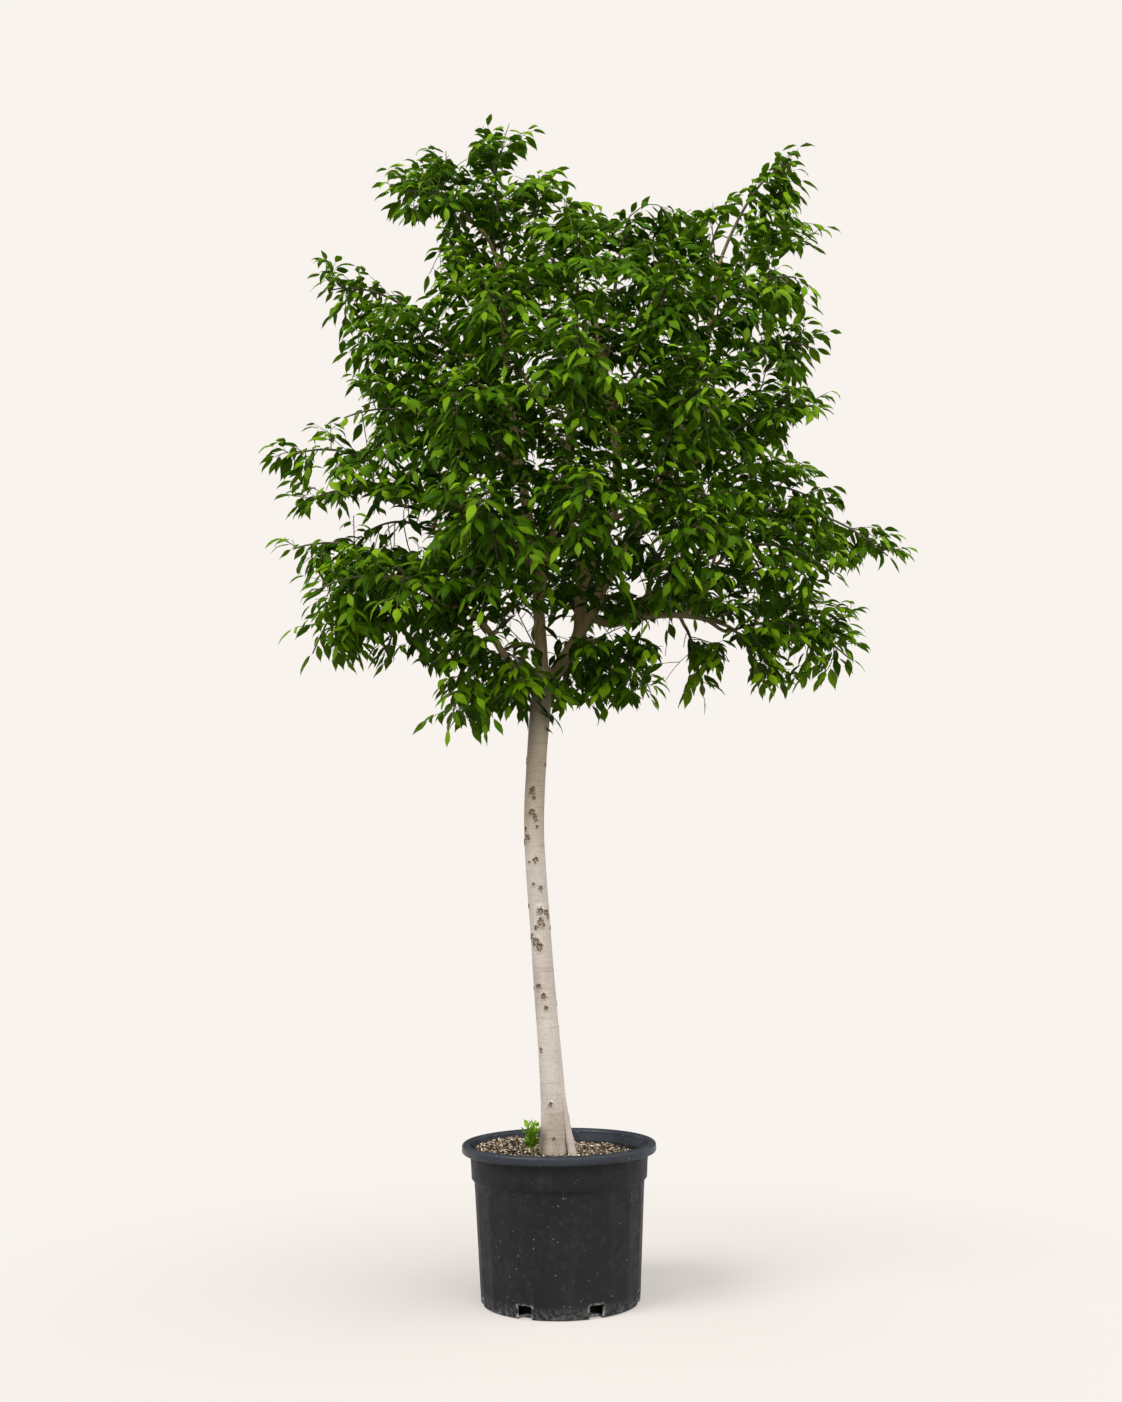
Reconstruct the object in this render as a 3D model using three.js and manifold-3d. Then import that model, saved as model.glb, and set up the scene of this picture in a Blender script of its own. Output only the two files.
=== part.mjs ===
// A standard weeping fig in a black nursery pot: a bare pale trunk, a forked crown and leafy boughs.
// Millimetres, +Z up. The origin is the middle of the pot's underside, and the front is towards -Y.
import * as THREE from "three";
import { mergeVertices } from "three/addons/utils/BufferGeometryUtils.js";
import Module from "manifold-3d";

const wasm = await Module();
wasm.setup();

// The pot
const RIM_RADIUS = 210;
const POT_HEIGHT = 330;
const BASE_RADIUS = 170;
const BODY_TOP = 256; // height at which the fluted body meets the collar
const BODY_TOP_RADIUS = 183.5;
const COLLAR_RADIUS = 189;
const LIP_UNDERSIDE = 309;
const LIP_WIDTH = 17; // from the rim's outside to its inside
const WALL = 3.6;
const FLOOR_THICKNESS = 5;
const POT_SIDES = 40;
const FLUTES = 20;
const FLUTE_DEPTH = 1.8;
const FLUTED_FROM = 6; // height above which the wall is fluted
const FLUTED_TO = BODY_TOP - 6;
const NOTCHES = 7;
const NOTCH = { width: 31, height: 27, depth: 26 };
const NOTCH_OVERRUN = 6; // how far the cut reaches past the outside of the pot's base
const NOTCH_TURN = Math.PI / NOTCHES; // a seam between two notches faces the front

// The soil, which lies higher on the left than on the right
const SOIL_GAP = 0.5;
const SOIL_HEIGHT = 306;
const SOIL_SLOPE = -0.07; // rise in height for each millimetre to the right
const SOIL_RADIUS = 182;
const SOIL_RINGS = 6;
const CRUMB = 5; // difference in height between the highest lump of bark and the lowest dip
const SWELL = 4; // height of the soil's broad waves

// The wood: each path is a list of [x, y, z, radius]
const STUB_BOTTOM = 190; // how deep the trunk and its root reach into the soil
const STUB_TOP = 322;
const TRUNK_STUB = { x: -12, y: 0, radius: 30, sides: 12 };
const ROOT_STUB = { x: 31, y: -16, radius: 9.5, sides: 8 };
const HOLE_GAP = 0.5;
const HOLE_EXTRA = 100; // how far a hole's cut reaches above the stub, past the soil's top
const TRUNK = [
  [-12, 0, 316, 29], [-11, 0, 400, 27], [-17, -1, 500, 25], [-24, -3, 600, 23.5], [-31, -4, 700, 22.5],
  [-37, -5, 800, 22], [-44, -5, 900, 22], [-48, -3, 1000, 21.5], [-45, 0, 1100, 21.5], [-38, 2, 1200, 22],
  [-31, 3, 1280, 23], [-25, 4, 1345, 20],
];
const AIR_ROOT = [
  [31, -16, 310, 9.5], [19, -13, 360, 7.5], [10, -11, 420, 6], [2, -9, 480, 5], [-7, -6, 560, 4],
];
const LEADERS = {
  west: [
    [-27, 4, 1310, 16], [-28, 8, 1400, 14], [-33, 14, 1500, 13], [-40, 20, 1620, 12], [-68, 14, 1800, 11],
    [-96, 2, 2000, 9.5], [-108, -4, 2180, 8], [-112, 0, 2320, 6],
  ],
  middle: [
    [-24, 4, 1310, 18], [14, 4, 1372, 16], [56, 8, 1440, 15], [60, 14, 1500, 13], [68, 20, 1565, 12.5],
    [112, 20, 1660, 12], [145, 12, 1750, 11], [150, 0, 1860, 10], [132, -16, 2010, 8.5], [104, -26, 2180, 6],
  ],
  east: [
    [50, 8, 1432, 13], [92, 0, 1498, 12.5], [114, -8, 1550, 12], [180, -16, 1655, 11], [252, -4, 1795, 10],
    [312, 14, 1950, 9], [362, 20, 2120, 7.5], [390, 20, 2280, 6],
  ],
  low_east: [
    [84, 2, 1482, 9], [128, -8, 1464, 9], [170, -14, 1472, 8.5], [234, -10, 1482, 7.5], [306, 0, 1482, 6.5],
    [390, 6, 1466, 5.5],
  ],
  low_west: [
    [-36, 2, 1302, 9], [-78, -10, 1345, 8.5], [-116, -20, 1402, 8], [-160, -30, 1466, 7],
    [-226, -38, 1520, 6],
  ],
  high_west: [[-40, 20, 1600, 9], [-118, 30, 1690, 8.5], [-210, 26, 1752, 7.5], [-310, 8, 1780, 6]],
  front: [
    [-33, 12, 1470, 8], [-22, -60, 1548, 8], [6, -138, 1664, 7.5], [34, -186, 1800, 7],
    [44, -200, 1950, 5.5],
  ],
  back: [
    [66, 20, 1550, 8], [60, 96, 1632, 8], [44, 168, 1752, 7.5], [36, 206, 1900, 7], [60, 200, 2060, 5.5],
  ],
};
const TRUNK_RINGS = 13;
const AIR_ROOT_RINGS = 5;
const LEADER_SIDES = 6;
const LEADER_RINGS = 1.3; // rings for each stretch between two points of a leader
const BRANCH_SIDES = 4;
const BRANCH_RING_STEP = 130;
const BRANCH_MAX_RINGS = 3;
const BRANCH_GROWTH = 0.012; // how much thicker a bare branch starts for each millimetre of its length
const BRANCH_SHARE = 0.8; // most of a branch's thickness, as a share of the wood it leaves
const BRANCH_LEAVE = 0.4; // how far a branch keeps the direction of the wood, as a share of its length
const BRANCH_ARRIVE = 0.35; // how far it already has its bough's direction
const TURN_COST = 0.9; // how much longer a branch may be rather than turn a right angle

// The boughs: where each leafy bough leaves its bare branch, and how far its leaves reach
const BOUGHS = {
  crest_west: [[-150, 30, 2330], [-366, 80, 2600]],
  crest_low: [[-160, -50, 2390], [-398, -90, 2480]],
  crest_peak: [[-112, 20, 2360], [-146, 0, 2670]],
  crest_east: [[-58, 64, 2322], [4, 84, 2590]],
  shoulder_west: [[-120, -90, 2140], [-262, -150, 2330]],
  arm_northwest: [[-230, 40, 2130], [-562, 60, 2312]],
  arm_west_high: [[-220, -60, 2050], [-495, -80, 2095]],
  arm_west_back: [[-190, 110, 1980], [-500, 150, 2040]],
  arm_west_mid: [[-190, -80, 1870], [-505, -110, 1930]],
  far_west: [[-340, -30, 1790], [-636, -60, 1860]],
  far_west_low: [[-350, 40, 1760], [-632, 50, 1762]],
  west_drop: [[-290, 40, 1700], [-478, 40, 1690]],
  arm_southwest: [[-300, -50, 1550], [-618, -90, 1640]],
  arm_southwest_low: [[-250, -120, 1500], [-556, -190, 1512]],
  arm_southwest_back: [[-230, 130, 1600], [-556, 190, 1640]],
  drop_southwest: [[-420, -20, 1570], [-562, -50, 1362]],
  drop_west: [[-300, 30, 1530], [-408, 30, 1384]],
  drop_south: [[-130, -90, 1430], [-246, -140, 1178]],
  drop_south_back: [[-100, 80, 1430], [-212, 130, 1262]],
  fork_west: [[-62, -70, 1392], [-108, -130, 1232]],
  fork_east: [[40, 50, 1400], [96, 80, 1252]],
  under_east: [[90, -50, 1420], [238, -90, 1252]],
  drop_east: [[300, 24, 1462], [348, 30, 1264]],
  drop_east_far: [[395, -30, 1450], [486, -50, 1280]],
  arm_southeast: [[410, 40, 1455], [722, 50, 1376]],
  arm_southeast_high: [[400, 110, 1510], [676, 140, 1468]],
  arm_east: [[430, 0, 1710], [806, 0, 1604]],
  arm_east_high: [[400, 70, 1780], [700, 90, 1740]],
  arm_east_low: [[400, -90, 1610], [660, -125, 1536]],
  east_mid: [[370, -30, 1860], [656, -30, 1972]],
  east_mid_back: [[360, 120, 1930], [598, 160, 2042]],
  arm_northeast_low: [[400, 40, 2080], [662, 30, 2130]],
  arm_northeast: [[410, -50, 2190], [606, -70, 2272]],
  arm_northeast_high: [[430, 50, 2310], [660, 70, 2412]],
  crest_northeast: [[405, 0, 2340], [592, 0, 2600]],
  crest_northeast_low: [[370, 70, 2330], [446, 90, 2524]],
  top_east: [[230, 20, 2220], [318, 20, 2472]],
  top_middle: [[150, -64, 2236], [196, -112, 2436]],
  top_west: [[20, 10, 2230], [56, 0, 2516]],
  front_top: [[60, -130, 2130], [70, -330, 2280]],
  front_high_west: [[-70, -190, 2010], [-140, -430, 2110]],
  front_high_east: [[210, -150, 2040], [280, -400, 2150]],
  front_mid_west: [[-110, -200, 1810], [-215, -480, 1860]],
  front_middle: [[60, -230, 1870], [60, -540, 1940]],
  front_mid_east: [[250, -180, 1830], [350, -450, 1880]],
  front_low_west: [[-80, -160, 1600], [-160, -470, 1640]],
  front_low: [[60, -200, 1630], [80, -490, 1660]],
  front_low_east: [[230, -150, 1580], [330, -400, 1590]],
  back_top: [[70, 150, 2130], [90, 370, 2270]],
  back_high_west: [[-90, 190, 1990], [-190, 440, 2070]],
  back_high_east: [[240, 180, 2040], [330, 420, 2130]],
  back_middle: [[50, 250, 1830], [60, 560, 1880]],
  back_mid_west: [[-130, 200, 1740], [-290, 470, 1760]],
  back_mid_east: [[260, 200, 1770], [400, 470, 1800]],
  back_low: [[60, 180, 1560], [70, 460, 1530]],
  back_low_east: [[230, 130, 1560], [370, 330, 1530]],
};
// The crown's mass, as rows of height, left side, right side and half depth
const CROWN = [
  [1340, -220, 220, 160], [1440, -500, 620, 300], [1540, -540, 670, 400], [1640, -520, 660, 440],
  [1750, -520, 610, 470], [1850, -510, 570, 490], [1950, -440, 570, 490], [2060, -440, 570, 450],
  [2160, -420, 570, 400], [2270, -280, 560, 340], [2380, -250, 540, 250], [2430, -300, 100, 160],
  [2540, -300, -60, 100],
];
const END_LEAF = 45; // how far the leaf at a bough's end reaches beyond its stem
const BOUGH_ARCH = 0.16; // rise of a bough's middle, as a share of its length
const STEM_RADIUS = 4;
const STEM_TIP_RADIUS = 1.8;
const STEM_GAP = 0.5; // between a bare branch and the stem of its bough
const LEAFY_FROM = 0.42; // share of a bough's length at which its leaves start
const CLEARANCE = 0.3; // least distance between a bough and everything else

// The leaves, which stand in two rows along each twig
const LEAF_LENGTH = 68; // with its stalk
const LEAF_WIDTH = 28;
const LEAF_WIDEST = 0.45; // share of a leaf's length at which it is widest
const LEAF_FOLD = 3; // how far a leaf's edges lie below its midrib
const LEAF_ANGLE = THREE.MathUtils.degToRad(54); // between a leaf and its twig
const LEAF_BEND = THREE.MathUtils.degToRad(85); // how much a leaf bows down from its root to its tip
const LEAF_RISE = THREE.MathUtils.degToRad(25); // how much it rises at its root
const STALK = 1.5; // half the width of a leaf's stalk
const RIB = 1.7; // half the width of a twig
const TWIG_ROLL = 35; // most degrees that a twig's leaves are turned about it
const RIDGE = 1.2; // height of a twig's ridge, as a share of half its width
const LEAF_STEP = 34; // from one leaf to the next along a twig, on its two sides in turn
const FIRST_LEAF = 0.8; // where the first leaf stands, in steps
const LEAF_ROOM = 0.4; // least distance from a leaf to a side twig or to the twig's end, in steps
const LATERALS = 7; // side twigs on a bough, numbered from its root
const SHOWN_LATERALS = [0, 3]; // those that are modelled here
const LATERALS_FROM = 0.12; // the stretch of a bough that they leave from, as shares of its length
const LATERALS_TO = 0.92;
const LATERAL_START = 110; // length of a side twig at the root of a bough of no length
const LATERAL_GROWTH = 0.36; // how much longer it is for each millimetre of the bough
const LATERAL_TAPER = 0.5; // how much shorter it is at the bough's end, as a share
const LATERAL_RANGE = [0.8, 1.2]; // shares of that length that a side twig may have
const TWIG_BEND = 0.55; // where a side twig bends, as a share of its length
const TWIG_REACH = 0.95; // how far ahead its end lies
const TWIG_BOW = 0.2; // how far its end bows down
const SPREADS = [40, 55, 70, 85]; // degrees that there may be between a side twig and its bough
const LIFTS = [-80, -60, -40, -20, 0, 20, 40, 60, 80]; // degrees from level that it may point up or down
const TWIG_MIDDLE = 0.8; // where the middle of a side twig's leaves is, as a share of its path
const BOUGH_LEAVES = [0.35, 0.6, 0.85, 1]; // places on a bough's curve that a side twig keeps away from
const OUTSIDE_COST = 400; // millimetres of room that a place outside the crown's mass loses
const SIDE_ROOM = 14; // a side twig's first stretch, where it is near its bough's own rib
const TURNS = [0, 18, -18, 36, -36, 54, -54]; // degrees that a twig may be turned to clear other boughs

// The seedling that has sown itself beside the trunk
const SEEDLING = {
  x: -58, y: -34, bottom: 270, stubTop: 320, top: 352, stem: 2.2, leaf: 20, width: 9, shoots: 3,
};
const SHOOT_LEAN = 14;
const SHOOT_THICKNESS = 1;
const LEAF_PAIR = [0.4, 0.5]; // where a shoot's two lower leaves stand, as shares of its length

const COLOURS = {
  pot: { color: 0x1b1d20, roughness: 0.62, metalness: 0 },
  soil: { color: 0x4a3728, roughness: 0.95, metalness: 0 },
  wood: { color: 0xa09484, roughness: 0.8, metalness: 0 },
  leaf: { color: 0x2c6412, roughness: 0.42, metalness: 0 },
  seedling: { color: 0x6da51c, roughness: 0.5, metalness: 0 },
};

const UP = new THREE.Vector3(0, 0, 1);

// A repeatable number from 0 to 1 for a pair of whole numbers.
function chance(a, b) {
  const wide = Math.sin(a * 127.1 + b * 311.7) * 43758.5453;
  return wide - Math.floor(wide);
}

// A closed three.js geometry as a solid that can be joined and cut.
function solidOf(geometry) {
  const bare = geometry.index ? geometry.toNonIndexed() : geometry.clone();
  for (const name of Object.keys(bare.attributes)) {
    if (name !== "position") bare.deleteAttribute(name);
  }
  const merged = mergeVertices(bare, 1e-3);
  return new wasm.Manifold(new wasm.Mesh({
    numProp: 3,
    vertProperties: merged.attributes.position.array,
    triVerts: new Uint32Array(merged.index.array),
  }));
}

function meshOf(name, solid, colour) {
  const { vertProperties, triVerts } = solid.getMesh();
  const geometry = new THREE.BufferGeometry();
  geometry.setAttribute("position", new THREE.BufferAttribute(vertProperties, 3));
  geometry.setIndex(new THREE.BufferAttribute(triVerts, 1));
  geometry.computeVertexNormals();
  const mesh = new THREE.Mesh(geometry, new THREE.MeshStandardMaterial(COLOURS[colour]));
  mesh.name = name;
  return mesh;
}

// Joins solids, and fills any hollow that this seals.
function joined(solids) {
  const skins = wasm.Manifold.union(solids).decompose();
  return skins.reduce((outer, skin) => (skin.volume() > outer.volume() ? skin : outer));
}

// A lathe's profile is drawn in (radius, height), and turns about Z.
function latheSolid(profile, sides) {
  const points = profile.map(([radius, height]) => new THREE.Vector2(radius, height));
  return new THREE.LatheGeometry(points, sides).rotateX(Math.PI / 2);
}

// The pot: a tapered wall with shallow flutes, a plain collar and a rolled lip.
function pot() {
  const lipInside = RIM_RADIUS - LIP_WIDTH;
  const profile = [
    [0, 0], [BASE_RADIUS - 7, 0], [BASE_RADIUS - 2, 2], [BASE_RADIUS, 7],
    [THREE.MathUtils.lerp(BASE_RADIUS, BODY_TOP_RADIUS, 0.5), BODY_TOP / 2],
    [BODY_TOP_RADIUS, FLUTED_TO], [COLLAR_RADIUS - 1, BODY_TOP],
    [COLLAR_RADIUS + 3, LIP_UNDERSIDE], [RIM_RADIUS - 3, LIP_UNDERSIDE], [RIM_RADIUS, LIP_UNDERSIDE + 7],
    [RIM_RADIUS - 2, POT_HEIGHT - 6], [RIM_RADIUS - 8, POT_HEIGHT], [lipInside + 3, POT_HEIGHT - 1],
    [lipInside, POT_HEIGHT - 6], [COLLAR_RADIUS - WALL, BODY_TOP + 4],
    [BODY_TOP_RADIUS - WALL - FLUTE_DEPTH, FLUTED_TO],
    [BASE_RADIUS - WALL - FLUTE_DEPTH, FLOOR_THICKNESS], [0, FLOOR_THICKNESS],
  ];
  const geometry = latheSolid(profile, POT_SIDES);
  const position = geometry.attributes.position;
  for (let i = 0; i < position.count; i++) {
    const [x, y, z] = [position.getX(i), position.getY(i), position.getZ(i)];
    const radius = Math.hypot(x, y);
    const outside = THREE.MathUtils.mapLinear(z, 0, BODY_TOP, BASE_RADIUS, BODY_TOP_RADIUS);
    if (z < FLUTED_FROM || z > FLUTED_TO + 1 || radius < outside - 1) continue;
    const hollow = FLUTE_DEPTH * (0.5 - 0.5 * Math.cos(FLUTES * Math.atan2(y, x)));
    const scale = 1 - hollow / radius;
    position.setXY(i, x * scale, y * scale);
  }
  let solid = solidOf(geometry);
  for (let k = 0; k < NOTCHES; k++) {
    const cut = new THREE.BoxGeometry(NOTCH.width, NOTCH.depth, 2 * NOTCH.height);
    cut.translate(0, -(BASE_RADIUS - NOTCH.depth / 2 + NOTCH_OVERRUN), 0);
    cut.rotateZ(NOTCH_TURN + (2 * Math.PI * k) / NOTCHES);
    solid = solid.subtract(solidOf(cut));
  }
  return solid;
}

function soilHeight(x, y) {
  return SOIL_HEIGHT + SOIL_SLOPE * x + SWELL * Math.sin(x / 38 + 1) * Math.cos(y / 45);
}

// The soil: it fills the pot. Its top is lumpy with bark, with plain holes for the trunk and its root.
function soil() {
  const bottom = FLOOR_THICKNESS + SOIL_GAP;
  const inside = (z) => THREE.MathUtils.mapLinear(
    z, FLOOR_THICKNESS, FLUTED_TO, BASE_RADIUS - WALL - FLUTE_DEPTH, BODY_TOP_RADIUS - WALL - FLUTE_DEPTH,
  ) - SOIL_GAP;
  const notchTop = NOTCH.height + SOIL_GAP;
  const notchInside = BASE_RADIUS - NOTCH.depth - NOTCH_OVERRUN;
  const profile = [
    [0, bottom], [notchInside, bottom], [notchInside, notchTop], [inside(notchTop) - 1, notchTop],
    [inside(FLUTED_TO - 2), FLUTED_TO - 2],
  ];
  for (let k = SOIL_RINGS; k >= 0; k--) profile.push([(SOIL_RADIUS * k) / SOIL_RINGS, SOIL_HEIGHT]);
  const geometry = latheSolid(profile, POT_SIDES);
  const position = geometry.attributes.position;
  for (let i = 0; i < position.count; i++) {
    if (position.getZ(i) < SOIL_HEIGHT - 1) continue;
    const [x, y] = [position.getX(i), position.getY(i)];
    const lump = CRUMB * (chance(Math.round(x), Math.round(y)) - 0.5);
    position.setZ(i, soilHeight(x, y) + lump);
  }
  const stubs = [TRUNK_STUB, ROOT_STUB, seedlingStub()];
  const holes = stubs.map((stub) => stubSolid(stub, HOLE_GAP, HOLE_EXTRA));
  return holes.reduce((left, hole) => left.subtract(hole), solidOf(geometry));
}

// The straight foot of a stem that stands in a plain hole, or that hole itself, with a gap and extra height.
function stubSolid({ x, y, radius, sides, bottom = STUB_BOTTOM, top = STUB_TOP }, gap = 0, extra = 0) {
  const height = top - bottom + gap + extra;
  const geometry = new THREE.CylinderGeometry(radius + gap, radius + gap, height, sides);
  geometry.rotateX(Math.PI / 2).translate(x, y, bottom - gap + height / 2);
  return solidOf(geometry);
}

// A point of a smooth path through [x, y, z, radius] points, for t from 0 to 1.
function along(points, t) {
  const spot = Math.min(t, 0.999999) * (points.length - 1);
  const i = Math.floor(spot);
  const s = spot - i;
  const before = points[Math.max(i - 1, 0)];
  const after = points[Math.min(i + 2, points.length - 1)];
  return points[i].map((here, axis) => {
    const next = points[i + 1][axis];
    const leave = (next - before[axis]) / 2;
    const arrive = (after[axis] - here) / 2;
    const a = 2 * (here - next) + leave + arrive;
    const b = 3 * (next - here) - 2 * leave - arrive;
    return ((a * s + b) * s + leave) * s + here;
  });
}

// The same form, [x, y, z, radius], for a Bezier curve whose radius tapers evenly.
function bezier(corners, thick, thin) {
  const curve = corners.length === 3
    ? new THREE.QuadraticBezierCurve3(...corners)
    : new THREE.CubicBezierCurve3(...corners);
  return (t) => [...curve.getPoint(t).toArray(), thick + (thin - thick) * t];
}

const pointAt = (path, t) => new THREE.Vector3(...path(t).slice(0, 3));

function directionAt(path, t) {
  const step = 0.01;
  const [from, to] = [Math.max(t - step, 0), Math.min(t + step, 1)];
  return pointAt(path, to).sub(pointAt(path, from)).normalize();
}

// A tapered stem: a cylinder whose rings are moved onto the path.
function stemSolid(path, sides, rings) {
  const geometry = new THREE.CylinderGeometry(1, 1, 1, sides, rings);
  const position = geometry.attributes.position;
  const frames = [];
  let normal = new THREE.Vector3(1, 0, 0);
  for (let k = 0; k <= rings; k++) {
    const t = k / rings;
    const ahead = directionAt(path, t);
    if (k === 0 && Math.abs(ahead.x) > 0.9) normal.set(0, 1, 0);
    normal = normal.clone().addScaledVector(ahead, -normal.dot(ahead)).normalize();
    const across = normal.clone().cross(ahead);
    frames.push({ centre: pointAt(path, t), radius: path(t)[3], normal, across });
  }
  for (let i = 0; i < position.count; i++) {
    const { centre, radius, normal, across } = frames[Math.round((position.getY(i) + 0.5) * rings)];
    const moved = centre.clone()
      .addScaledVector(normal, position.getX(i) * radius)
      .addScaledVector(across, position.getZ(i) * radius);
    position.setXYZ(i, ...moved.toArray());
  }
  return solidOf(geometry);
}

// A bough's own curve: it rises a little above the straight line, then bows down.
function boughCurve([root, reach]) {
  const [start, end] = [new THREE.Vector3(...root), new THREE.Vector3(...reach)];
  const length = start.distanceTo(end) - END_LEAF;
  end.sub(start).setLength(length).add(start);
  const middle = start.clone().lerp(end, 0.5).addScaledVector(UP, 2 * BOUGH_ARCH * length);
  return bezier([start, middle, end], STEM_RADIUS, STEM_TIP_RADIUS);
}

// Every bare branch, each from the spot on the wood that leads best to its bough.
// A spot is good when it is near and the wood there already points towards the bough.
function branchPaths() {
  const spots = [];
  const addSpots = (path, rings) => {
    for (let k = 1; k < rings; k++) {
      const t = k / rings;
      spots.push({ point: pointAt(path, t), ahead: directionAt(path, t), radius: path(t)[3] });
    }
  };
  Object.values(LEADERS).forEach((points) => addSpots((t) => along(points, t), leaderRings(points)));
  const cost = (spot, goal) => {
    const way = goal.clone().sub(spot.point);
    return way.length() * (1 + TURN_COST * (1 - spot.ahead.dot(way.normalize())));
  };
  const best = (goal) => spots.reduce((a, b) => (cost(b, goal) < cost(a, goal) ? b : a));
  const waiting = Object.values(BOUGHS).map((ends) => {
    const curve = boughCurve(ends);
    const root = pointAt(curve, 0);
    return { curve, root, reach: cost(best(root), root) };
  });
  waiting.sort((a, b) => a.reach - b.reach);
  return waiting.map(({ curve, root }) => {
    const spot = best(root);
    const length = spot.point.distanceTo(root);
    const leave = spot.point.clone().addScaledVector(spot.ahead, BRANCH_LEAVE * length);
    const arrive = root.clone().addScaledVector(directionAt(curve, 0), -BRANCH_ARRIVE * length);
    const thick = Math.min(BRANCH_SHARE * spot.radius, STEM_RADIUS + BRANCH_GROWTH * length);
    const path = bezier([spot.point, leave, arrive, root], thick, STEM_RADIUS);
    const rings = THREE.MathUtils.clamp(Math.round(length / BRANCH_RING_STEP), 1, BRANCH_MAX_RINGS);
    addSpots(path, rings);
    return { path, rings };
  });
}

const leaderRings = (points) => Math.round(LEADER_RINGS * (points.length - 1));

// The trunk, its air root, the leaders and the bare branches, grown together as one piece.
function wood() {
  const leaders = Object.values(LEADERS).map((points) => {
    const path = (t) => along(points, t);
    return stemSolid(path, LEADER_SIDES, leaderRings(points));
  });
  return joined([
    stubSolid(TRUNK_STUB), stubSolid(ROOT_STUB),
    stemSolid((t) => along(TRUNK, t), TRUNK_STUB.sides, TRUNK_RINGS),
    stemSolid((t) => along(AIR_ROOT, t), ROOT_STUB.sides, AIR_ROOT_RINGS),
    ...leaders,
    ...branchPaths().map(({ path, rings }) => stemSolid(path, BRANCH_SIDES, rings)),
  ]);
}

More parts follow.
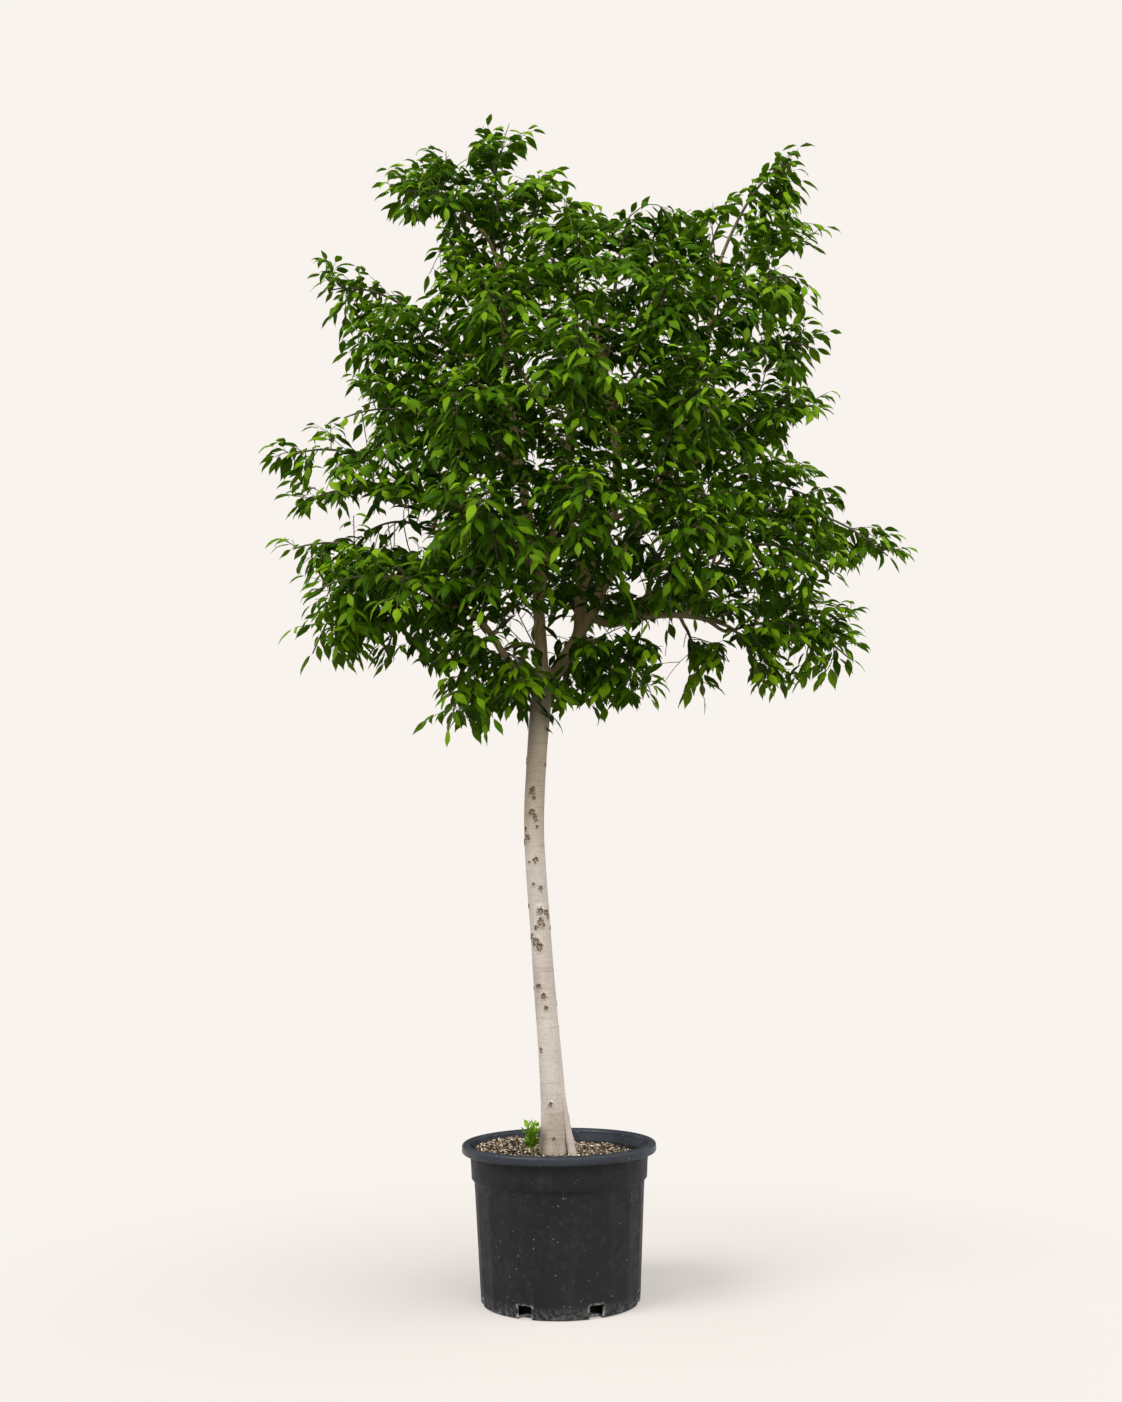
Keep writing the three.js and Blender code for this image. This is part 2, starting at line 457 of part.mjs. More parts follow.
// A spray of leafy twigs as one thin closed sheet, cut to the rib between its leaves.
// A rib has two edges and a raised ridge. A leaf or a side twig takes a short piece of one edge as its
// root, and the ridge has a point beside it. Each leaf has a raised point on its own midrib.
class Spray {
  constructor() {
    this.points = [];
    this.faces = [];
  }

  // A twig along a path. Its root is a piece of another twig's rib, or it starts with a face of its own.
  // sides lists its side twigs, as { at, side, twig }, where at is the distance along it.
  twig({ path, length, roll = 0, above = UP, bare = 0, base = RIB, sides = [] }, root) {
    const frameAt = twigFrames(path, length, roll, above);
    const place = (u, v, w) => {
      const { centre, ahead, across } = frameAt(u);
      const point = centre.addScaledVector(across, v).addScaledVector(ahead.cross(across), w);
      return this.points.push(point.toArray()) - 1;
    };
    const half = (u) => THREE.MathUtils.lerp(base, RIB, Math.min(u / Math.max(bare, 1), 1));
    const start = root ?? [place(0, -base, 0), place(0, base, 0), place(0, 0, RIDGE * base)];
    if (!root) this.faces.push([start[1], start[0], start[2]]);
    const [right, left, ridge] = start.map((i) => [{ u: 0, i }]);
    const rib = { left, right, ridge };
    const shoots = [...leafSpots(length, bare, sides), ...sides].sort((a, b) => a.at - b.at);
    for (const { at, side, twig } of shoots) {
      const [near, far] = [at - STALK, at + STALK].map((u) => ({ u, i: place(u, side * half(u), 0) }));
      const top = { u: at, i: place(at, 0, RIDGE * half(at)) };
      (side > 0 ? rib.left : rib.right).push(near, far);
      rib.ridge.push(top);
      const root = [...(side > 0 ? [far, near] : [near, far]), top].map(({ i }) => i);
      if (twig) this.twig(twig, root);
      else this.leaf(frameAt(at), side * RIB, side * LEAF_ANGLE, root);
    }
    rib.left.push({ u: length, i: place(length, RIB, 0) });
    rib.right.push({ u: length, i: place(length, -RIB, 0) });
    rib.ridge.push({ u: length, i: place(length, 0, RIDGE * RIB) });
    this.leaf(frameAt(length), 0, 0, [rib.right, rib.left, rib.ridge].map((line) => line.at(-1).i));
    this.slope(rib.left, rib.ridge, 1);
    this.slope(rib.right, rib.ridge, -1);
    this.underside(rib.left, rib.right);
  }

  // A leaf on a twig's frame, offset to one side of it.
  leaf({ centre, ahead, across }, offset, angle, [right, left, ridge]) {
    const heading = ahead.clone().multiplyScalar(Math.cos(angle)).addScaledVector(across, Math.sin(angle));
    const above = ahead.clone().cross(across);
    const aside = above.clone().cross(heading);
    const root = centre.clone().addScaledVector(across, offset);
    const spot = (reach, side, height) => {
      const [out, fall] = bowed(reach);
      const point = root.clone()
        .addScaledVector(heading, out)
        .addScaledVector(aside, side)
        .addScaledVector(above, height - fall);
      return this.points.push(point.toArray()) - 1;
    };
    const widest = LEAF_WIDEST * LEAF_LENGTH;
    const middle = spot(widest, 0, 0);
    const tip = spot(LEAF_LENGTH, 0, 0);
    const [rightEdge, leftEdge] = [-1, 1].map((side) => spot(widest, (side * LEAF_WIDTH) / 2, -LEAF_FOLD));
    const ring = [right, rightEdge, tip, leftEdge, left, ridge];
    ring.forEach((corner, k) => this.faces.push([middle, corner, ring[(k + 1) % ring.length]]));
    this.faces.push([right, left, rightEdge], [left, leftEdge, rightEdge], [rightEdge, leftEdge, tip]);
  }

  // The upper face of a rib from one edge to the ridge, except the pieces of the edge that are roots.
  slope(edge, ridge, side) {
    const add = (a, b, c) => this.faces.push(side > 0 ? [a.i, b.i, c.i] : [a.i, c.i, b.i]);
    for (let k = 0; k + 1 < edge.length; k += 2) {
      const [a, b] = [edge[k], edge[k + 1]];
      const from = ridge.findIndex(({ u }) => u > a.u - 2 * STALK);
      const to = ridge.findLastIndex(({ u }) => u < b.u + 2 * STALK);
      const turn = Math.ceil((from + to) / 2);
      for (let m = from; m < to; m++) add(ridge[m], ridge[m + 1], m < turn ? a : b);
      add(b, a, ridge[turn]);
    }
  }

  underside(left, right) {
    let [i, j] = [0, 0];
    while (i + 1 < left.length || j + 1 < right.length) {
      const rightEnds = j + 1 === right.length;
      const leftNext = rightEnds || (i + 1 < left.length && left[i + 1].u < right[j + 1].u);
      this.faces.push([right[j].i, left[i].i, leftNext ? left[i + 1].i : right[j + 1].i]);
      if (leftNext) i++;
      else j++;
    }
  }

  solid() {
    const geometry = new THREE.BufferGeometry();
    geometry.setAttribute("position", new THREE.Float32BufferAttribute(this.points.flat(), 3));
    geometry.setIndex(this.faces.flat());
    return solidOf(geometry);
  }
}

// Where the leaves stand on a twig: on its two sides in turn, clear of its side twigs.
function leafSpots(length, bare, sides) {
  const spots = [];
  const room = LEAF_ROOM * LEAF_STEP;
  const place = (k) => bare + (k + FIRST_LEAF) * LEAF_STEP;
  for (let k = 0; place(k) < length - room; k++) {
    const at = place(k);
    if (sides.every((other) => Math.abs(other.at - at) > room)) spots.push({ at, side: k % 2 ? -1 : 1 });
  }
  return spots;
}

// A flat twig's frame at any distance along it: its centre there, and the directions ahead and across.
// Its face is turned to the direction above, and then rolled.
function twigFrames(path, length, roll, above) {
  const straight = pointAt(path, 1).sub(pointAt(path, 0)).normalize();
  const level = above.clone().cross(straight).normalize();
  level.applyAxisAngle(straight, THREE.MathUtils.degToRad(roll));
  return (u) => {
    const ahead = directionAt(path, u / length);
    const across = level.clone().addScaledVector(ahead, -level.dot(ahead)).normalize();
    return { centre: pointAt(path, u / length), ahead, across };
  };
}

// How far out and how far down a point of a leaf lies, once its straight reach is bent along an arc.
function bowed(reach) {
  const radius = LEAF_LENGTH / LEAF_BEND;
  const angle = reach / radius - LEAF_RISE;
  const out = radius * (Math.sin(angle) + Math.sin(LEAF_RISE));
  const fall = radius * (Math.cos(LEAF_RISE) - Math.cos(angle));
  return [out, fall];
}

// Where a side twig leaves its bough, as a share of the bough's length, and on which side.
const lateralShare = (j) => THREE.MathUtils.lerp(LATERALS_FROM, LATERALS_TO, (j + 0.5) / LATERALS);
const lateralSide = (j) => (j % 2 ? 1 : -1);

// How far a place is from the crown's axis: 1 is the outside of its mass.
function outwardness({ x, y, z }) {
  const rowsBelow = CROWN.filter((row) => row[0] <= z).length;
  const k = THREE.MathUtils.clamp(rowsBelow, 1, CROWN.length - 1);
  const [low, high] = [CROWN[k - 1], CROWN[k]];
  const share = THREE.MathUtils.clamp((z - low[0]) / (high[0] - low[0]), 0, 1);
  const [, left, right, depth] = low.map((value, axis) => THREE.MathUtils.lerp(value, high[axis], share));
  return Math.hypot((x - (left + right) / 2) / ((right - left) / 2), y / depth);
}

// Aims the side twigs of all boughs, one after another, each at the place that has the most room.
function aimTwigs(curves) {
  const taken = curves.flatMap((curve) => BOUGH_LEAVES.map((t) => pointAt(curve, t)));
  return curves.map((curve, bough) => SHOWN_LATERALS.map((j) => {
    let best = { room: -Infinity };
    for (const spread of SPREADS) {
      for (const lift of LIFTS) {
        const middle = pointAt(lateralPath(curve, bough, j, spread, lift).path, TWIG_MIDDLE);
        const clear = Math.min(...taken.map((place) => place.distanceTo(middle)));
        const room = clear - OUTSIDE_COST * Math.max(outwardness(middle) - 1, 0);
        if (room > best.room) best = { room, middle, spread, lift };
      }
    }
    taken.push(best.middle);
    return { j, ...best };
  }));
}

// A side twig's path: it leaves the bough to one side, up or down, and bows down under its leaves.
function lateralPath(curve, bough, j, spreadDegrees, liftDegrees) {
  const { degToRad, lerp } = THREE.MathUtils;
  const share = lateralShare(j);
  const start = pointAt(curve, share);
  const ahead = directionAt(curve, share);
  const level = UP.clone().cross(ahead).normalize().multiplyScalar(lateralSide(j));
  const above = ahead.clone().cross(level).multiplyScalar(lateralSide(j));
  const span = pointAt(curve, 0).distanceTo(pointAt(curve, 1));
  const usual = (LATERAL_GROWTH * span + LATERAL_START) * (1 - LATERAL_TAPER * share);
  const length = usual * lerp(...LATERAL_RANGE, chance(bough, j));
  const [spread, lift] = [degToRad(spreadDegrees), degToRad(liftDegrees)];
  const out = level.multiplyScalar(Math.cos(lift)).addScaledVector(above, Math.sin(lift));
  const heading = ahead.multiplyScalar(Math.cos(spread)).addScaledVector(out, Math.sin(spread));
  const bend = start.clone().addScaledVector(heading, TWIG_BEND * length);
  const end = start.clone().addScaledVector(heading, TWIG_REACH * length);
  end.addScaledVector(UP, -TWIG_BOW * length);
  return { path: bezier([start, bend, end], RIB, RIB), length };
}

function boxesMeet(a, b) {
  const near = (k) => a.min[k] < b.max[k] + CLEARANCE && b.min[k] < a.max[k] + CLEARANCE;
  return [0, 1, 2].every(near);
}

function clears(solid, others) {
  const box = solid.boundingBox();
  const near = others.filter((other) => boxesMeet(box, other.box));
  return near.every((other) => solid.minGap(other.solid, CLEARANCE) >= CLEARANCE);
}

function sprayOf(twig, sides = []) {
  const spray = new Spray();
  spray.twig({ ...twig, sides });
  return spray.solid();
}

// A side twig without its first few millimetres, by which it hangs on its bough.
function freePart(twig) {
  const skip = SIDE_ROOM / twig.length;
  const path = (t) => twig.path(skip + (1 - skip) * t);
  return sprayOf({ ...twig, path, length: twig.length - SIDE_ROOM });
}

// One leafy bough: its stem with leaves at its end, and its side twigs where they clear the rest.
function boughSolid(curve, bough, aims, others) {
  const span = pointAt(curve, 0).distanceTo(pointAt(curve, 1));
  const roll = (j) => TWIG_ROLL * (2 * chance(bough, j + 40) - 1);
  const skip = STEM_GAP / (100 * pointAt(curve, 0).distanceTo(pointAt(curve, 0.01)));
  const stems = TURNS.map((turn) => ({
    path: (t) => curve(skip + (1 - skip) * t),
    length: span,
    roll: roll(0) + turn,
    bare: LEAFY_FROM * span,
    base: STEM_RADIUS,
  }));
  const stem = stems.find((twig) => clears(sprayOf(twig), others)) ?? stems[0];
  const ownTwigs = [];
  const sides = [];
  const keep = (solid) => ownTwigs.push({ solid, box: solid.boundingBox() });
  keep(sprayOf(stem));
  for (const { j, spread, lift } of aims) {
    const at = lateralShare(j) * span;
    const { ahead, across } = twigFrames(stem.path, span, stem.roll, UP)(at);
    const above = ahead.cross(across);
    const candidates = TURNS.map((turn) => ({
      at,
      side: lateralSide(j),
      twig: { ...lateralPath(curve, bough, j, spread + turn, lift), roll: roll(j), above },
    }));
    const chosen = candidates.find((one) => (
      clears(freePart(one.twig), ownTwigs) && clears(sprayOf(stem, [...sides, one]), others)
    ));
    if (!chosen) continue;
    sides.push(chosen);
    keep(freePart(chosen.twig));
  }
  return sprayOf(stem, sides);
}

function seedlingStub() {
  const { x, y, bottom, stubTop, stem } = SEEDLING;
  return { x, y, radius: stem, sides: 6, bottom, top: stubTop };
}

// The seedling: a few upright shoots with small leaves, on a stem that stands in the soil.
function seedling() {
  const { x, y, top, leaf, width, shoots } = SEEDLING;
  const stub = seedlingStub();
  const solids = [stubSolid(stub)];
  for (let k = 0; k < shoots; k++) {
    const angle = (2 * Math.PI * (k + 0.3)) / shoots;
    const lean = SHOOT_LEAN + 6 * chance(k, 5);
    const base = new THREE.Vector3(x, y, stub.top - 4);
    const out = new THREE.Vector3(Math.cos(angle), Math.sin(angle), 0);
    const end = base.clone().addScaledVector(out, lean).setZ(top + 6 * chance(k, 9));
    const bend = base.clone().addScaledVector(out, 0.8 * lean).setZ((base.z + end.z) / 2);
    const path = bezier([base, bend, end], RIB, RIB);
    solids.push(shootSolid(path, base.distanceTo(end), leaf, width));
  }
  return joined(solids);
}

// An upright shoot with one pair of small leaves below the leaf at its end.
function shootSolid(path, length, leaf, width) {
  const [right, left] = LEAF_PAIR.map((share) => share * length);
  const outline = [
    [0, -1], [right, -1], [right + 0.5 * leaf, -width], [right + 0.9 * leaf, -0.9 * leaf], [right + 4, -1.2],
    [length, -1], [length + 0.45 * leaf, -width / 2], [length + leaf, 0], [length + 0.45 * leaf, width / 2],
    [length, 1], [left + 4, 1.2], [left + 0.9 * leaf, 0.9 * leaf], [left + 0.5 * leaf, width],
    [left, 1], [0, 1],
  ];
  const shape = new THREE.Shape(outline.map(([u, v]) => new THREE.Vector2(u, v)));
  const geometry = new THREE.ExtrudeGeometry(shape, { depth: SHOOT_THICKNESS, bevelEnabled: false });
  const across = UP.clone().cross(pointAt(path, 1).sub(pointAt(path, 0))).normalize();
  const position = geometry.attributes.position;
  for (let i = 0; i < position.count; i++) {
    const t = position.getX(i) / length;
    const ahead = directionAt(path, Math.min(t, 1));
    const moved = pointAt(path, Math.min(t, 1))
      .addScaledVector(ahead, Math.max(t - 1, 0) * length)
      .addScaledVector(across, position.getY(i))
      .addScaledVector(ahead.clone().cross(across), position.getZ(i) - SHOOT_THICKNESS / 2);
    position.setXYZ(i, ...moved.toArray());
  }
  return solidOf(geometry);
}

const tree = new THREE.Group();
const placed = [];

function place(name, solid, colour) {
  placed.push({ name, solid, box: solid.boundingBox() });
  tree.add(meshOf(name, solid, colour));
}

place("pot", pot(), "pot");
place("soil", soil(), "soil");
place("wood", wood(), "wood");
place("seedling", seedling(), "seedling");

// The stems of all the boughs are in the way of every other bough's leaves.
const boughs = Object.entries(BOUGHS).map(([name, ends]) => {
  const curve = boughCurve(ends);
  const stem = stemSolid(curve, BRANCH_SIDES, BRANCH_MAX_RINGS);
  return { name, curve, solid: stem, box: stem.boundingBox() };
});
const aims = aimTwigs(boughs.map(({ curve }) => curve));
boughs.forEach(({ name, curve }, k) => {
  place("bough_" + name, boughSolid(curve, k, aims[k], [...placed, ...boughs.slice(k + 1)]), "leaf");
});

export default tree;
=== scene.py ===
import math

import bpy
import numpy as np
from mathutils import Matrix, Vector, noise


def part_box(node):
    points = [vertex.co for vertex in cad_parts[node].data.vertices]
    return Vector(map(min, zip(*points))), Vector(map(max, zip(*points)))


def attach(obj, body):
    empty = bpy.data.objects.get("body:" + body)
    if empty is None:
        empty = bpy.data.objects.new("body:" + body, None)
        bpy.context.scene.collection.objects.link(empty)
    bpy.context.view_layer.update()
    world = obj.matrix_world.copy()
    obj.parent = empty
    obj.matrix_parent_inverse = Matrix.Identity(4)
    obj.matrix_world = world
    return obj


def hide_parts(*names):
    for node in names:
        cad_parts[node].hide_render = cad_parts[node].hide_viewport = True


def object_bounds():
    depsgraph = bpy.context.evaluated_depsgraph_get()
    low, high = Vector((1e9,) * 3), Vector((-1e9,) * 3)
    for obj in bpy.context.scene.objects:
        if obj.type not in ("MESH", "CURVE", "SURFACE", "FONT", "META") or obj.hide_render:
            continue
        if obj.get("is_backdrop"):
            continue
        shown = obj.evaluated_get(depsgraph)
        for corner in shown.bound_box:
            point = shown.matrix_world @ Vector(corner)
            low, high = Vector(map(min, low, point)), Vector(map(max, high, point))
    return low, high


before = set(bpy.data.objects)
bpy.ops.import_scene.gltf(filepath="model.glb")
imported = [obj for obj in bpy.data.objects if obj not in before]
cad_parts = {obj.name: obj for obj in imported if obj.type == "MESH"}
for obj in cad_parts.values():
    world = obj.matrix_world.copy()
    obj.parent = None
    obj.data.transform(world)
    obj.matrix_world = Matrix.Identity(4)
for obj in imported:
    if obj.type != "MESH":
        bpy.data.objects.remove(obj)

CAD_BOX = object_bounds()
MM = 0.001
UP = np.array([0.0, 0.0, 1.0])
CROWN_MIDDLE = np.array([0.03, 0.0, 1.85])

# The photograph's camera, fitted to the pot and the trunk
PHOTO_HEIGHT = 1402
FOCAL_LENGTH = 1513  # pixels
CAMERA_PLACE = (0.0152, -3.372, 0.832)
CAMERA_PITCH = math.radians(7.75)
CAMERA_ROLL = math.radians(-0.66)
SENSOR = 36

# The pot, from its solid
POT_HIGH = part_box("pot")[1]
RIM_RADIUS = POT_HIGH[0]
POT_HEIGHT = POT_HIGH[2]
BASE_RADIUS = 0.170
BODY_TOP = 0.256
BODY_TOP_RADIUS = 0.1835
COLLAR_RADIUS = 0.189
LIP_UNDERSIDE = 0.309
LIP_WIDTH = 0.017
LIP_ARC = (18, 172)  # degrees of the lip's rounding
WALL = 0.0036
FLOOR_THICKNESS = 0.005
POT_SIDES = 240
FLUTES = 20
FLUTE_DEPTH = 0.0018
FLUTED_FROM = 0.006
FLUTED_TO = BODY_TOP - 0.006
FLUTE_END = 0.006  # over which a flute's hollow ends at its top
FLUTE_ARCH = 0.016  # how much lower a flute's hollow ends at its sides than at its middle
NOTCHES = 7
NOTCH_WIDTH = 0.031
NOTCH_HEIGHT = 0.027
NOTCH_DEPTH = 0.026
NOTCH_OVERRUN = 0.006  # how far the cutter stands out of the wall
NOTCH_TURN = math.pi / NOTCHES
EDGE_ROUND = 0.006  # radius of the pot's lower edge and of its lip's outer edge
AXIS = 0.0001  # the radius at which a turned surface closes on its axis
SLOT_WEAR = 0.005  # how far the wear goes from a slot's edge
FOOT_WEAR = 0.03  # and how far up from the pot's foot
BOX_CORNERS = [(a, b, c) for c in (-1, 1) for a, b in ((-1, -1), (1, -1), (1, 1), (-1, 1))]
BOX_FACES = ((3, 2, 1, 0), (4, 5, 6, 7), (0, 1, 5, 4), (1, 2, 6, 5), (2, 3, 7, 6), (3, 0, 4, 7))

# The soil
SOIL_HEIGHT = 0.306
SOIL_SLOPE = -0.07
SOIL_SWELL = 0.004
SOIL_WAVES = (0.038, 0.045)  # a radian of its swell along x and y
SOIL_RADIUS = 0.182
SOIL_RINGS = 60
SOIL_SIDES = 160
SOIL_GAP = 0.0005
SOIL_LUMPS = [(95, 0.3, 0.0022), (300, 4.1, 0.001)]  # how close its lumps lie, their seed and height
CHIPS = 3000
CHIP_LENGTH = (0.0032, 0.009)
CHIP_WIDTH = (0.3, 0.6)  # as shares of the length
CHIP_THICKNESS = (0.16, 0.36)
CHIP_UNEVEN = (-0.42, 0.3)  # how far its corners lie in or out, as a share
CHIP_HEAP = 0.003  # how high they lie on one another
CHIP_LEVELS = (-0.2, 0.9)  # least and most, as shares of it
CHIP_TONE = (0.62, 0.34)  # mean and scatter
CHIP_FREE = [(-0.012, 0.0, 0.031), (0.03, -0.016, 0.012)]  # x, y and radius of what stands in the soil
SOIL_DIP = 0.006  # how much lower the soil lies in front of the trunk
SOIL_DIP_EDGES = (-0.04, 0.02)  # y where the dip is full, and where it ends

# The wood: rows of x, y, z and radius in millimetres, as the solids have them
TRUNK = [
    (-12, 0, 300, 30), (-11, 0, 400, 27), (-17, -1, 500, 25), (-24, -3, 600, 23.5), (-31, -4, 700, 22.5),
    (-37, -5, 800, 22), (-44, -5, 900, 22), (-48, -3, 1000, 21.5), (-45, 0, 1100, 21.5), (-38, 2, 1200, 22),
    (-31, 3, 1280, 23), (-25, 4, 1345, 20),
]
AIR_ROOT = [
    (31, -16, 296, 9.5), (19, -13, 360, 7.5), (10, -11, 420, 6), (2, -9, 480, 5), (-7, -6, 560, 4),
]
LEADERS = {
    "west": [
        (-27, 4, 1310, 16), (-28, 8, 1400, 14), (-33, 14, 1500, 13), (-40, 20, 1620, 12), (-68, 14, 1800, 11),
        (-96, 2, 2000, 9.5), (-108, -4, 2180, 8), (-112, 0, 2320, 6),
    ],
    "middle": [
        (-24, 4, 1310, 18), (14, 4, 1372, 16), (56, 8, 1440, 15), (60, 14, 1500, 13), (68, 20, 1565, 12.5),
        (112, 20, 1660, 12), (145, 12, 1750, 11), (150, 0, 1860, 10), (132, -16, 2010, 8.5),
        (104, -26, 2180, 6),
    ],
    "east": [
        (50, 8, 1432, 13), (92, 0, 1498, 12.5), (114, -8, 1550, 12), (180, -16, 1655, 11),
        (252, -4, 1795, 10), (312, 14, 1950, 9), (362, 20, 2120, 7.5), (390, 20, 2280, 6),
    ],
    "low_east": [
        (84, 2, 1482, 9), (128, -8, 1464, 9), (170, -14, 1472, 8.5), (234, -10, 1482, 7.5),
        (306, 0, 1482, 6.5), (390, 6, 1466, 5.5),
    ],
    "low_west": [
        (-36, 2, 1302, 9), (-78, -10, 1345, 8.5), (-116, -20, 1402, 8), (-160, -30, 1466, 7),
        (-226, -38, 1520, 6),
    ],
    "high_west": [
        (-40, 20, 1600, 9), (-118, 30, 1690, 8.5), (-210, 26, 1752, 7.5), (-310, 8, 1780, 6),
    ],
    "front": [
        (-33, 12, 1470, 8), (-22, -60, 1548, 8), (6, -138, 1664, 7.5), (34, -186, 1800, 7),
        (44, -200, 1950, 5.5),
    ],
    "back": [
        (66, 20, 1550, 8), (60, 96, 1632, 8), (44, 168, 1752, 7.5), (36, 206, 1900, 7), (60, 200, 2060, 5.5),
    ],
}
LEADER_RINGS = 1.3  # rings for each of a leader's rows, from which branches may leave
BRANCH_RING_STEP = 0.13
BRANCH_MAX_RINGS = 3
BRANCH_GROWTH = 0.012  # how much thicker a branch is for each metre of its length
BRANCH_SHARE = 0.8  # its most, as a share of what it leaves
BRANCH_LEAVE = 0.4
BRANCH_ARRIVE = 0.35
TURN_COST = 0.9  # how much a branch or twig shuns a sharp turn

# The boughs: where each leaves its bare branch and how far its leaves reach, in millimetres
BOUGHS = {
    "crest_west": [(-150, 30, 2330), (-366, 80, 2600)],
    "crest_low": [(-160, -50, 2390), (-398, -90, 2480)],
    "crest_peak": [(-112, 20, 2360), (-146, 0, 2670)],
    "crest_east": [(-58, 64, 2322), (4, 84, 2590)],
    "shoulder_west": [(-120, -90, 2140), (-262, -150, 2330)],
    "arm_northwest": [(-230, 40, 2130), (-562, 60, 2312)],
    "arm_west_high": [(-220, -60, 2050), (-495, -80, 2095)],
    "arm_west_back": [(-190, 110, 1980), (-500, 150, 2040)],
    "arm_west_mid": [(-190, -80, 1870), (-505, -110, 1930)],
    "far_west": [(-340, -30, 1790), (-636, -60, 1860)],
    "far_west_low": [(-350, 40, 1760), (-632, 50, 1762)],
    "west_drop": [(-290, 40, 1700), (-478, 40, 1690)],
    "arm_southwest": [(-300, -50, 1550), (-618, -90, 1640)],
    "arm_southwest_low": [(-250, -120, 1500), (-556, -190, 1512)],
    "arm_southwest_back": [(-230, 130, 1600), (-556, 190, 1640)],
    "drop_southwest": [(-420, -20, 1570), (-562, -50, 1362)],
    "drop_west": [(-300, 30, 1530), (-408, 30, 1384)],
    "drop_south": [(-130, -90, 1430), (-246, -140, 1178)],
    "drop_south_back": [(-100, 80, 1430), (-212, 130, 1262)],
    "fork_west": [(-62, -70, 1392), (-108, -130, 1232)],
    "fork_east": [(40, 50, 1400), (96, 80, 1252)],
    "under_east": [(90, -50, 1420), (238, -90, 1252)],
    "drop_east": [(300, 24, 1462), (348, 30, 1264)],
    "drop_east_far": [(395, -30, 1450), (486, -50, 1280)],
    "arm_southeast": [(410, 40, 1455), (722, 50, 1376)],
    "arm_southeast_high": [(400, 110, 1510), (676, 140, 1468)],
    "arm_east": [(430, 0, 1710), (806, 0, 1604)],
    "arm_east_high": [(400, 70, 1780), (700, 90, 1740)],
    "arm_east_low": [(400, -90, 1610), (660, -125, 1536)],
    "east_mid": [(370, -30, 1860), (656, -30, 1972)],
    "east_mid_back": [(360, 120, 1930), (598, 160, 2042)],
    "arm_northeast_low": [(400, 40, 2080), (662, 30, 2130)],
    "arm_northeast": [(410, -50, 2190), (606, -70, 2272)],
    "arm_northeast_high": [(430, 50, 2310), (660, 70, 2412)],
    "crest_northeast": [(405, 0, 2340), (592, 0, 2600)],
    "crest_northeast_low": [(370, 70, 2330), (446, 90, 2524)],
    "top_east": [(230, 20, 2220), (318, 20, 2472)],
    "top_middle": [(150, -64, 2236), (196, -112, 2436)],
    "top_west": [(20, 10, 2230), (56, 0, 2516)],
    "front_top": [(60, -130, 2130), (70, -330, 2280)],
    "front_high_west": [(-70, -190, 2010), (-140, -430, 2110)],
    "front_high_east": [(210, -150, 2040), (280, -400, 2150)],
    "front_mid_west": [(-110, -200, 1810), (-215, -480, 1860)],
    "front_middle": [(60, -230, 1870), (60, -540, 1940)],
    "front_mid_east": [(250, -180, 1830), (350, -450, 1880)],
    "front_low_west": [(-80, -160, 1600), (-160, -470, 1640)],
    "front_low": [(60, -200, 1630), (80, -490, 1660)],
    "front_low_east": [(230, -150, 1580), (330, -400, 1590)],
    "back_top": [(70, 150, 2130), (90, 370, 2270)],
    "back_high_west": [(-90, 190, 1990), (-190, 440, 2070)],
    "back_high_east": [(240, 180, 2040), (330, 420, 2130)],
    "back_middle": [(50, 250, 1830), (60, 560, 1880)],
    "back_mid_west": [(-130, 200, 1740), (-290, 470, 1760)],
    "back_mid_east": [(260, 200, 1770), (400, 470, 1800)],
    "back_low": [(60, 180, 1560), (70, 460, 1530)],
    "back_low_east": [(230, 130, 1560), (370, 330, 1530)],
}
END_LEAF = 0.045  # how far the leaf at a bough's tip goes on past its stem
BOUGH_ARCH = 0.16  # how far a bough's stem rises, as a share of its length
STEM_RADIUS = 0.004
STEM_TIP_RADIUS = 0.0018
STEM_BARE = 0.18  # share of a bough's stem without leaves
STEM_LOSS = 0.4  # how far the gaps thin the leaves on it
TWIG_ROLL = 35  # the most that a bough's leaves roll to one side, in degrees
LATERALS = 7  # side twigs on each bough
FIRST_LATERALS = (0, 3)  # the side twigs that the solids have; they are aimed before the others
LATERALS_FROM = 0.12  # shares of the bough's length between which they stand
LATERALS_TO = 0.92
LATERAL_START = 0.110  # their length: this much, more for each metre of the bough, less towards its tip
LATERAL_GROWTH = 0.36
LATERAL_TAPER = 0.5
LATERAL_RANGE = (0.8, 1.2)
OUTER_EDGES = (0.65, 1.1)  # how far out of the crown the other side twigs start to shorten, and end
OUTER_LENGTH = 0.46  # their length there, as a share
TWIG_BEND = 0.55  # where a twig's bend lies, as a share of its length
TWIG_REACH = 0.95
TWIG_BOW = 0.2  # how far its end sinks, as a share of its length
SHORT_BOW = 0.08  # the same for the short twigs
SPREADS = (40, 55, 70, 85)  # the angles that a side twig may leave its bough at
LIFTS = (-80, -60, -40, -20, 0, 20, 40, 60, 80)  # and may turn up or down, in degrees
TWIG_MIDDLE = 0.8  # where along a twig the middle of its leaves lies
BOUGH_LEAVES = (0.35, 0.6, 0.85, 1)  # places along a bough that its own leaves take
SHOOTS = (0.34, 0.48, 0.62, 0.76, 0.88)  # where the short upright shoots stand along a bough's stem
SHOOT_LENGTH = (0.055, 0.095)
SHOOT_LEAN = (0.1, 0.7)  # how far they lean aside
TWIGLETS = (0.22, 0.45, 0.68)  # where the short twigs stand along a side twig
TWIGLET_LENGTH = (0.34, 0.58)  # as a share of their twig's
TWIGLET_SPREAD = (38, 62)  # degrees
TWIGLET_LIFT = (-10, 50)
OUTSIDE_COST = 0.4  # how much a side twig shuns the crown's outside
GAP_COST = 0.15  # and the gaps
TWIG_RADIUS = 0.0013

